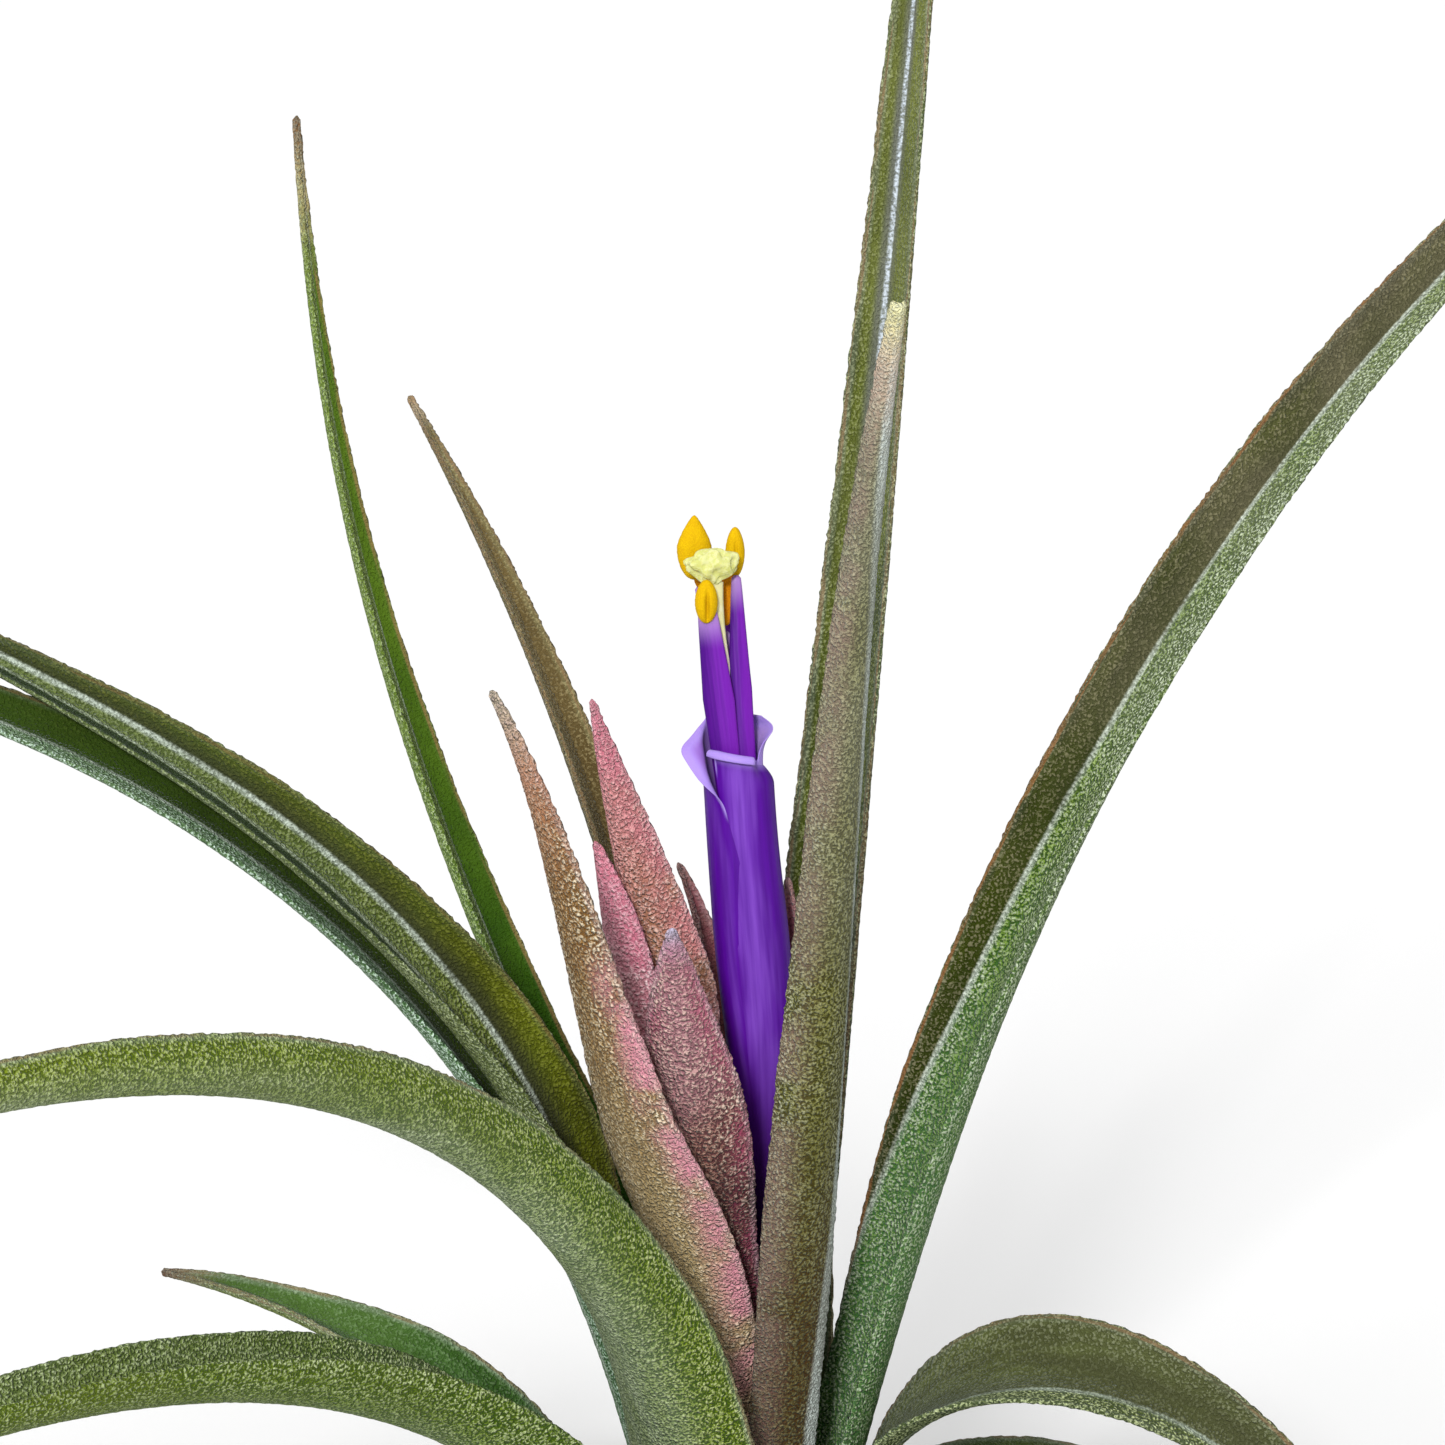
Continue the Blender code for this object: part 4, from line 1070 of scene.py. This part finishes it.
@dataclass
class Petal(Blade):
    """One petal: a strip of the flower tube, and the lobe that spreads from its mouth.

    Each row of the shape is the distance past the mouth, the angles that the petal spans
    before and after its heading, the width of the flap that its edge folds out to, and how
    far the petal stands outside the tube.
    """

    heading: float = 0.0
    shape: tuple[tuple[float, float, float, float, float], ...] = ()
    roll: float = 0.0
    shoulder: tuple[float, float] = (0.0, 0.0)
    lip_width: float = 1.2
    edge_lip: float = 1.0
    lip_from: float = 3.9
    under: float = 0.0
    lift: float = 0.0
    finish_kind: PetalFinish = PetalFinish()

    TUBE = (
        (0.15, -0.3, 31.7, 1.2),
        (0.05, -0.3, 39.6, 1.9),
        (-0.25, -0.3, 49.0, 2.5),
        (-0.85, -0.3, 56.2, 2.8),
        (-1.5, -0.3, 63.3, 2.65),
        (-1.85, -0.3, 69.4, 2.6),
    )
    THICKNESS = 0.2
    ROLL_RADIUS = 0.3
    FLAP_TURN = 108.0
    FINE = 240

    def counts(self) -> tuple[int, int]:
        """How many rows run along the petal, and how many columns across one face."""
        return 150, 71

    def table(self, column: int, past: np.ndarray) -> np.ndarray:
        """One column of the shape, smoothed.

        Args:
            column: 1 before, 2 after, 3 flap, 4 outside.
            past: distances past the mouth.

        Returns:
            The column's value at each distance.
        """
        rows = np.array(self.shape)
        offsets = np.linspace(-0.4, 0.4, 9)
        return sum(np.interp(past + o, rows[:, 0], rows[:, column]) for o in offsets) / len(offsets)

    def middle(self, along: np.ndarray, across: np.ndarray) -> dict[str, np.ndarray]:
        """Where the petal's middle surface runs, as Blade.middle says.

        Args:
            along: places along the petal, from 0 to 1.
            across: places across it, from -1 to 1.

        Returns:
            The arrays that Blade.middle names, and "lip", which is 1 at a pale edge.
        """
        stations = np.array(self.TUBE)
        foot, mouth = stations[0, 2], stations[-1, 2] + self.lift
        tube_length = mouth - foot
        top = math.radians(self.roll) * self.ROLL_RADIUS if self.roll else self.shape[-1][0]
        distance = (1.0 - (1.0 - along) ** 1.5) * (tube_length + top)
        past = distance - tube_length
        tube = self.smoothed(stations, np.minimum(foot + distance, mouth))
        before, after = np.radians(self.table(1, past)), np.radians(self.table(2, past))
        flap, outside = self.table(3, past), self.table(4, past)
        base = tube[:, 3] - 0.2 - self.under * ease((past + 14.0) / 12.0)
        radius = base + outside

        steps = np.linspace(0.0, 1.0, self.FINE + 1)
        reach_after = radius * after + flap
        arc = reach_after[:, None] * steps
        on_tube = radius * after
        turned = np.clip((arc - on_tube[:, None]) / self.ROLL_RADIUS, 0.0, math.radians(self.FLAP_TURN))
        facing = math.radians(self.heading + 90.0) + np.minimum(arc, on_tube[:, None]) / radius[:, None] - turned
        middle_facing = (facing[:, 1:] + facing[:, :-1]) / 2.0
        pace = (reach_after / self.FINE)[:, None]
        zero = np.zeros((len(along), 1))
        start = math.radians(self.heading)
        x_after = radius[:, None] * math.cos(start) + np.hstack([zero, np.cumsum(np.cos(middle_facing), 1)]) * pace
        y_after = radius[:, None] * math.sin(start) + np.hstack([zero, np.cumsum(np.sin(middle_facing), 1)]) * pace

        is_after = across >= 0.0
        index = np.clip(np.rint(across * self.FINE).astype(int), 0, self.FINE)
        angle = start + before[:, None] * across[None, :]
        x = np.where(is_after, x_after[:, index], radius[:, None] * np.cos(angle))
        y = np.where(is_after, y_after[:, index], radius[:, None] * np.sin(angle))
        heading = np.where(is_after, facing[:, index], angle + math.pi / 2)

        lean = np.broadcast_to(np.arctan(np.gradient(outside, past))[:, None], x.shape)
        level = np.broadcast_to((mouth + past)[:, None], x.shape)
        if self.roll:
            x, y, level, lean = self.rolled(x, y, past, mouth)
        side = np.stack([np.cos(heading), np.sin(heading), np.zeros_like(heading)], axis=2)
        inward = np.stack([-np.sin(heading), np.cos(heading), np.zeros_like(heading)], axis=2)
        normal = inward * np.cos(lean)[..., None] + np.array([0.0, 0.0, 1.0]) * np.sin(lean)[..., None]
        point = np.stack([x + tube[:, 0][:, None], y + tube[:, 1][:, None], level], axis=2)

        run = np.where(is_after, across * reach_after[:, None], across * (radius * before)[:, None])
        half = np.where(is_after, reach_after[:, None], (radius * before)[:, None])
        to_edge = half - np.abs(run)
        width = 0.16 + (self.lip_width - 0.16) * ease((past + 3.0) / 2.6)
        free = ease((past + self.lip_from) / 1.0)[:, None]
        near = np.minimum(to_edge / self.edge_lip, (top - past)[:, None])
        lip = (1.0 - ease((near / width[:, None] - 0.35) / 0.65)) * free
        thin = 1.0 - 0.6 * (1.0 - ease(to_edge / 0.7))
        return {"point": point, "side": side, "normal": normal, "thickness": self.THICKNESS * thin, "run": run,
                "half": half, "travelled": distance, "lip": lip}

    def rolled(self, x: np.ndarray, y: np.ndarray, past: np.ndarray, mouth: float) -> tuple[np.ndarray, ...]:
        """Rolls the petal's top outwards, and closes it inwards at its shoulder.

        Args:
            x: how far right of the tube's middle each point is.
            y: how far behind it each point is.
            past: distances past the mouth.
            mouth: the mouth's height.

        Returns:
            The points' new x and y, their heights and how far the petal leans outwards there.
        """
        turn = np.clip(past / self.ROLL_RADIUS, 0.0, None)
        out_roll = self.ROLL_RADIUS * (1.0 - np.cos(turn))
        up_roll = np.where(past > 0.0, self.ROLL_RADIUS * np.sin(turn), past)
        depth = 1.9
        bent = np.clip(past + depth, 0.0, None) / (depth + past.max())
        fall = math.radians(78.0) * bent
        bow = (depth + past.max()) / math.radians(78.0)
        out_close = np.where(past > -depth, -bow * (1.0 - np.cos(fall)), 0.0)
        up_close = np.where(past > -depth, -depth + bow * np.sin(fall), past)
        radius = np.hypot(x, y)
        angle = np.degrees(np.arctan2(y, x)) % 360.0
        angle = np.where(angle < 90.0, angle + 360.0, angle)
        low, high = self.shoulder
        share = ease((angle - low) / (high - low))
        moved = out_roll[:, None] * (1.0 - share) + out_close[:, None] * share
        level = mouth + up_roll[:, None] * (1.0 - share) + up_close[:, None] * share
        level = level - 0.18 * x * ease((past + 2.5) / 2.0)[:, None]
        lean = turn[:, None] * (1.0 - share) - fall[:, None] * share
        scale = (radius + moved) / radius
        return x * scale, y * scale, level, lean

    @staticmethod
    def smoothed(stations: np.ndarray, height: np.ndarray) -> np.ndarray:
        """The tube's middle and radius at each height, with no corner at the stations.

        Args:
            stations: rows of x, y, z and radius.
            height: the heights to read.

        Returns:
            A row of x, y, z and radius for each height.
        """
        offsets = np.linspace(-2.5, 2.5, 11)
        total = np.zeros((len(height), 4))
        for offset in offsets:
            total += np.stack([np.interp(height + offset, stations[:, 2], stations[:, k]) for k in range(4)], axis=1)
        return total / len(offsets)


@dataclass
class Filament(Blade):
    """A stamen's flat stalk, from the bundle's root to just under its anther."""

    route: tuple[tuple[float, float, float], ...] = ()
    widths: tuple[float, ...] = ()
    facing: float = 0.0
    flatness: float = 0.32

    def counts(self) -> tuple[int, int]:
        """How many rows run along the filament, and how many columns across one face."""
        return 110, 11

    def middle(self, along: np.ndarray, across: np.ndarray) -> dict[str, np.ndarray]:
        """Where the filament's middle surface runs, as Blade.middle says.

        Args:
            along: places along it, from 0 to 1.
            across: places across it, from -1 to 1.

        Returns:
            The arrays that Blade.middle names.
        """
        route = np.array(self.route)
        length = np.concatenate([[0.0], np.cumsum(np.linalg.norm(np.diff(route, axis=0), axis=1))])
        distance = along * length[-1]
        points = np.zeros((len(along), 3))
        offsets = np.linspace(-2.0, 2.0, 9)
        for offset in offsets:
            reached = np.clip(distance + offset, 0.0, length[-1])
            points += np.stack([np.interp(reached, length, route[:, k]) for k in range(3)], axis=1) / len(offsets)
        width = np.interp(distance, length, self.widths) / 2.0
        side = np.array([-math.sin(self.facing), math.cos(self.facing), 0.0])
        normal = -np.array([math.cos(self.facing), math.sin(self.facing), 0.0])
        bow = 0.22 * (across[None, :] ** 2) * width[:, None]
        run = width[:, None] * across[None, :]
        point = points[:, None, :] + run[..., None] * side + bow[..., None] * normal
        shape = run.shape + (3,)
        return {
            "point": point, "side": np.broadcast_to(side, shape), "normal": np.broadcast_to(normal, shape),
            "thickness": np.full(run.shape, self.flatness), "run": run,
            "half": np.broadcast_to(width[:, None], run.shape), "travelled": distance,
        }


@dataclass
class Bead:
    """A small rounded piece: a ball that is shaped into an anther or a stigma."""

    name: str
    centre: tuple[float, float, float]
    radii: tuple[float, float, float]
    furrow: float = 0.35
    pinch: float = 0.35
    ruffle: float = 0.0
    waist: float = 0.0
    seed: int = 1
    segments: int = 64
    rings: int = 44

    def build(self, material: bpy.types.Material, slot: str, node: str) -> bpy.types.Object:
        """Builds and dresses the bead.

        Args:
            material: what it is made of.
            slot: the slot that the material stands for; not used.
            node: the solid that it replaces.

        Returns:
            The bead's object.
        """
        bpy.ops.object.select_all(action="DESELECT")
        bpy.ops.mesh.primitive_uv_sphere_add(segments=self.segments, ring_count=self.rings, radius=1.0)
        made = bpy.context.object
        made.name = self.name
        made.data.name = self.name
        count = len(made.data.vertices)
        flat = np.empty(count * 3, np.float32)
        made.data.vertices.foreach_get("co", flat)
        unit = flat.reshape(-1, 3).astype(float)
        x, y, z = unit.T
        around = np.arctan2(y, x)
        slit = np.exp(-(((x - 0.1) / 0.17) ** 2)) * np.clip(-y, 0.0, 1.0) ** 0.5
        dent = 1.0 - self.furrow * slit * ease((0.9 - z) / 1.2)
        narrow = 1.0 - self.pinch * np.clip(z, 0.0, 1.0) ** 1.3
        foot = 1.0 - self.waist * (1.0 - ease((z + 1.0) / 1.25))
        phase = np.random.default_rng(self.seed).random(6) * 6.28
        crests = np.sin(5 * around + 3.1 * z + phase[0]) * 0.5 + np.sin(9 * around - 4.7 * z + phase[1]) * 0.3
        crests = crests + np.sin(6.3 * x + phase[2]) * np.sin(7.1 * z + phase[3]) * 0.6
        swell = 1.0 + self.ruffle * crests * np.clip(1.0 - np.abs(z) ** 6, 0.0, 1.0)
        grain = 1.0 + 0.008 * (np.sin(41 * x + phase[4]) * np.sin(37 * z + phase[5]) + np.sin(53 * y + 29 * z))
        lobed = unit * np.stack([narrow * foot, narrow * dent * foot, np.ones(count)], axis=1)
        lobed = lobed * (swell * grain)[:, None]
        placed = (lobed * np.array(self.radii) + np.array(self.centre)) * MM
        made.data.vertices.foreach_set("co", placed.astype(np.float32).ravel())
        made.data.update()
        bpy.ops.object.shade_smooth()
        made.data.materials.append(material)
        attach(made, BODY)
        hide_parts(node)
        return made


@dataclass
class Flower:
    """The open flower: three petals, six stamens and the pistil."""

    bundle_foot: tuple[float, float, float] = (-0.12, -0.3, 45.0)
    bundle_waist: tuple[float, float, float] = (-1.45, -0.3, 63.0)
    bundle_mouth: tuple[float, float, float] = (-2.1, -0.3, 70.3)

    LEFT_SHAPE = (
        (-40.0, 27.0, 124.0, 0.0, 0.0),
        (-6.9, 27.0, 124.0, 0.0, 0.0),
        (-2.9, 27.0, 103.0, 0.0, 0.02),
        (-1.9, 27.0, 84.0, 0.45, 0.03),
        (-1.0, 26.0, 68.0, 0.95, 0.06),
        (0.0, 25.0, 57.0, 1.35, 0.1),
        (1.1, 20.0, 47.0, 1.85, 0.18),
        (1.9, 14.0, 30.0, 0.8, 0.26),
        (3.1, 6.0, 3.0, 0.0, 0.32),
    )
    FRONT_SHAPE = (
        (-40.0, 57.0, 87.0, 0.0, 0.0),
        (-3.0, 57.0, 87.0, 0.0, 0.0),
        (0.0, 69.0, 87.0, 0.0, 0.0),
        (1.2, 71.0, 87.0, 0.0, 0.0),
    )
    BACK_SHAPE = (
        (-40.0, 97.0, 77.0, 0.0, 0.0),
        (-3.0, 97.0, 77.0, 0.0, -0.1),
        (0.0, 97.0, 77.0, 0.0, -0.55),
        (1.2, 86.0, 66.0, 0.0, -0.5),
        (2.0, 68.0, 52.0, 0.0, -0.1),
        (2.5, 54.0, 44.0, 0.0, 0.5),
        (3.2, 6.0, 24.0, 0.0, 0.0),
    )
    STAMENS = (
        (((-0.4, -0.6), (-1.85, -1.0, 63.0), (-2.8, -1.1, 70.3), (-3.25, -1.2, 74.0), (-4.12, -1.35, 80.9)),
         (1.0, 1.5, 1.7, 1.94, 1.0), -1.68),
        (((0.4, -0.6), (-0.9, -0.9, 63.0), (-1.38, -0.9, 70.3), (-1.73, -0.6, 74.7), (-2.04, 0.1, 83.2)),
         (0.8, 1.0, 1.2, 1.34, 0.3), -1.45),
        (((-0.5, 0.2), (-2.3, 0.0, 63.0), (-3.1, 0.0, 70.3), (-3.9, 0.3, 76.0), (-4.85, 0.8, 82.3)),
         (0.5, 0.7, 0.9, 0.9, 0.35), 3.0),
        (((0.4, 0.2), (-0.7, 0.0, 63.0), (-1.2, 0.0, 70.3), (-1.9, 0.6, 75.0), (-2.7, 1.3, 79.1)),
         (0.5, 0.7, 0.8, 0.8, 0.35), 0.1),
        (((-0.3, 0.4), (-1.9, 0.4, 63.0), (-2.6, 0.5, 70.3), (-3.3, 1.4, 76.0), (-4.25, 2.4, 81.3)),
         (0.5, 0.8, 1.1, 1.1, 0.4), 2.1),
        (((0.3, 0.4), (-1.0, 0.4, 63.0), (-1.55, 0.5, 70.3), (-2.0, 1.5, 76.0), (-2.6, 2.8, 82.0)),
         (0.5, 0.8, 1.1, 1.1, 0.4), 1.0),
    )
    # The last column marks the anthers in shadow, which take the yellow pollen with painted shade.
    ANTHERS = (
        ((-4.1, -1.6, 81.0), (0.8, 0.62, 1.52), 0.85, 0.1, False),
        ((-2.1, 0.75, 84.2), (0.68, 0.6, 1.75), 0.5, 0.15, False),
        ((-4.95, 0.9, 84.5), (1.22, 0.75, 2.25), 0.1, 0.58, False),
        ((-2.72, 1.0, 80.8), (0.62, 0.5, 1.8), 0.3, 0.3, True),
        ((-4.3, 2.5, 83.0), (0.8, 0.6, 1.8), 0.35, 0.4, True),
        ((-2.3, 2.95, 83.1), (0.55, 0.5, 1.5), 0.35, 0.4, True),
    )

    def petals(self) -> None:
        """Builds the three petals."""
        kinds = (
            Petal("petal_left", seed=3, heading=140.0, shape=self.LEFT_SHAPE, lip_width=1.25,
                  finish_kind=PetalFinish(scurf_and_highlight_at=0.78, scurf_and_highlight_width=0.12, scurf_and_highlight_share=0.35)),
            Petal("petal_front", seed=5, heading=290.0, shape=self.FRONT_SHAPE, roll=205.0,
                  shoulder=(290.0, 312.0), lip_width=1.9, edge_lip=0.12, lip_from=1.6, under=0.1, lift=0.6,
                  finish_kind=PetalFinish(scurf_and_highlight_at=-0.3, scurf_and_highlight_width=0.6, scurf_and_highlight_share=0.75)),
            Petal("petal_back", seed=8, heading=60.0, shape=self.BACK_SHAPE, under=0.3, lip_width=1.3,
                  finish_kind=PetalFinish(inside=(176, 146, 214))),
        )
        for petal in kinds:
            petal.build()
            petal.dress(petal.finish_kind.material(petal.name + "_violet"), "petal", "corolla")
            LOG.info("%s", petal.name)

    def stamens(self) -> None:
        """Builds the six filaments and their anthers."""
        violet = FilamentFinish().material("filament_violet")
        yellow = GrainFinish((200, 156, 0), (220, 182, 0), 0.1, roughness=0.8, depth=0.03).material("pollen_yellow")
        # The yellow pollen darkened to orange with painted shade, for the anthers in shadow.
        shaded_pollen = GrainFinish((196, 116, 4), (226, 156, 6), 0.1, roughness=0.8, depth=0.03).material("pollen_shaded")
        for number, ((shift, *route), widths, facing) in enumerate(self.STAMENS, start=1):
            foot = (self.bundle_foot[0] + shift[0], self.bundle_foot[1] + shift[1], self.bundle_foot[2])
            stalk = Filament(f"filament_{number}", seed=number + 20, rim_steps=3, route=(foot, *route),
                             widths=widths, facing=facing)
            stalk.build()
            stalk.dress(violet, "filament", "filaments")
        for number, (centre, radii, furrow, pinch, shaded) in enumerate(self.ANTHERS, start=1):
            name = f"anther_{number}"
            Bead(name, centre, radii, furrow, pinch, seed=number).build(shaded_pollen if shaded else yellow, "anther", name)
        LOG.info("stamens")

    def pistil(self) -> None:
        """Builds the style and the frilled stigma."""
        cream = GrainFinish((190, 192, 108), (222, 222, 172), 0.3, roughness=0.8, depth=0.05, glow=0.2)
        blushed = GrainFinish((214, 208, 150), (230, 226, 190), 0.8, roughness=0.6, depth=0.02, glow=0.2,
                              low=(232, 214, 200))
        Bead("stigma", (-3.72, -1.0, 83.35), (1.85, 0.8, 1.3), furrow=0.0, pinch=0.1, ruffle=0.2, waist=0.55,
             seed=4, segments=96, rings=64).build(cream.material("stigma_cream"), "stigma", "pistil")
        style = Filament("style", seed=31, rim_steps=5, flatness=0.6, facing=-1.571, widths=(0.1, 0.2, 0.45, 0.8),
                         route=((-1.9, -0.3, 67.5), (-2.6, -0.35, 75.0), (-3.4, -0.6, 79.2), (-3.65, -0.85, 82.9)))
        style.build()
        style.dress(blushed.material("style_blush"), "stigma", "pistil")

    def build(self) -> None:
        """Builds and dresses the flower."""
        self.petals()
        self.stamens()
        self.pistil()


@dataclass
class Stem:
    """The woody foot that the leaves sit on."""

    finish: GrainFinish = GrainFinish((58, 38, 24), (118, 92, 62), 0.5, roughness=0.9, depth=0.15)

    def build(self) -> None:
        """Dresses the stem's own solid."""
        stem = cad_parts["stem"]
        stem.data.materials.clear()
        stem.data.materials.append(self.finish.material("stem_bark"))


@dataclass
class Studio:
    """White floor, soft light and the camera."""

    aim: tuple[float, float, float] = (-0.002975, 0.0, 0.07228)
    distance: float = 0.4
    elevation: float = 8.0
    lens: float = 142.36
    ambient: float = 0.5
    key_strength: float = 1.3
    key_softness: float = 30.0
    low_strength: float = 2.6
    low_softness: float = 8.0
    low_travel: tuple[float, float, float] = (0.45, 2.8, -1.0)

    def build(self) -> None:
        """Sets up the stage."""
        scene = bpy.context.scene
        scene.view_settings.view_transform = "Standard"
        bpy.ops.object.select_all(action="DESELECT")
        bpy.ops.mesh.primitive_plane_add(size=60.0, location=(0.0, 0.0, 0.0))
        floor = bpy.context.object
        floor.name = "floor"
        nodes = Nodes("floor_white")
        nodes.surface((0.97, 0.97, 0.97, 1.0), 0.85, 0.1)
        floor.data.materials.append(nodes.material)

        world = bpy.data.worlds.new("soft_white")
        world.use_nodes = True
        background = world.node_tree.nodes["Background"]
        background.inputs["Color"].default_value = (1.0, 1.0, 1.0, 1.0)
        background.inputs["Strength"].default_value = self.ambient
        scene.world = world

        bpy.ops.object.light_add(type="SUN", rotation=(math.radians(38.0), math.radians(-24.0), 0.0))
        key = bpy.context.object
        key.name = "key_light"
        key.data.energy = self.key_strength
        key.data.angle = math.radians(self.key_softness)
        bpy.ops.object.light_add(type="SUN", rotation=Vector(self.low_travel).to_track_quat("-Z", "Y").to_euler())
        low = bpy.context.object
        low.name = "low_light"
        low.data.energy = self.low_strength
        low.data.angle = math.radians(self.low_softness)

        tilt = math.radians(self.elevation)
        forward = Vector((0.0, math.cos(tilt), -math.sin(tilt)))
        bpy.ops.object.camera_add(location=Vector(self.aim) - forward * self.distance)
        camera = bpy.context.object
        camera.rotation_euler = forward.to_track_quat("-Z", "Y").to_euler()
        camera.data.lens = self.lens
        camera.data.sensor_width = 36.0
        camera.data.clip_start = 0.01
        camera.data.clip_end = 100.0
        scene.camera = camera


def main() -> None:
    """Builds the plant's looks and the studio, in order."""
    logging.basicConfig(level=logging.INFO, format="%(name)s: %(message)s")
    Studio().build()
    Stem().build()
    Foliage().build()
    Flower().build()


if __name__ == "__main__":
    main()
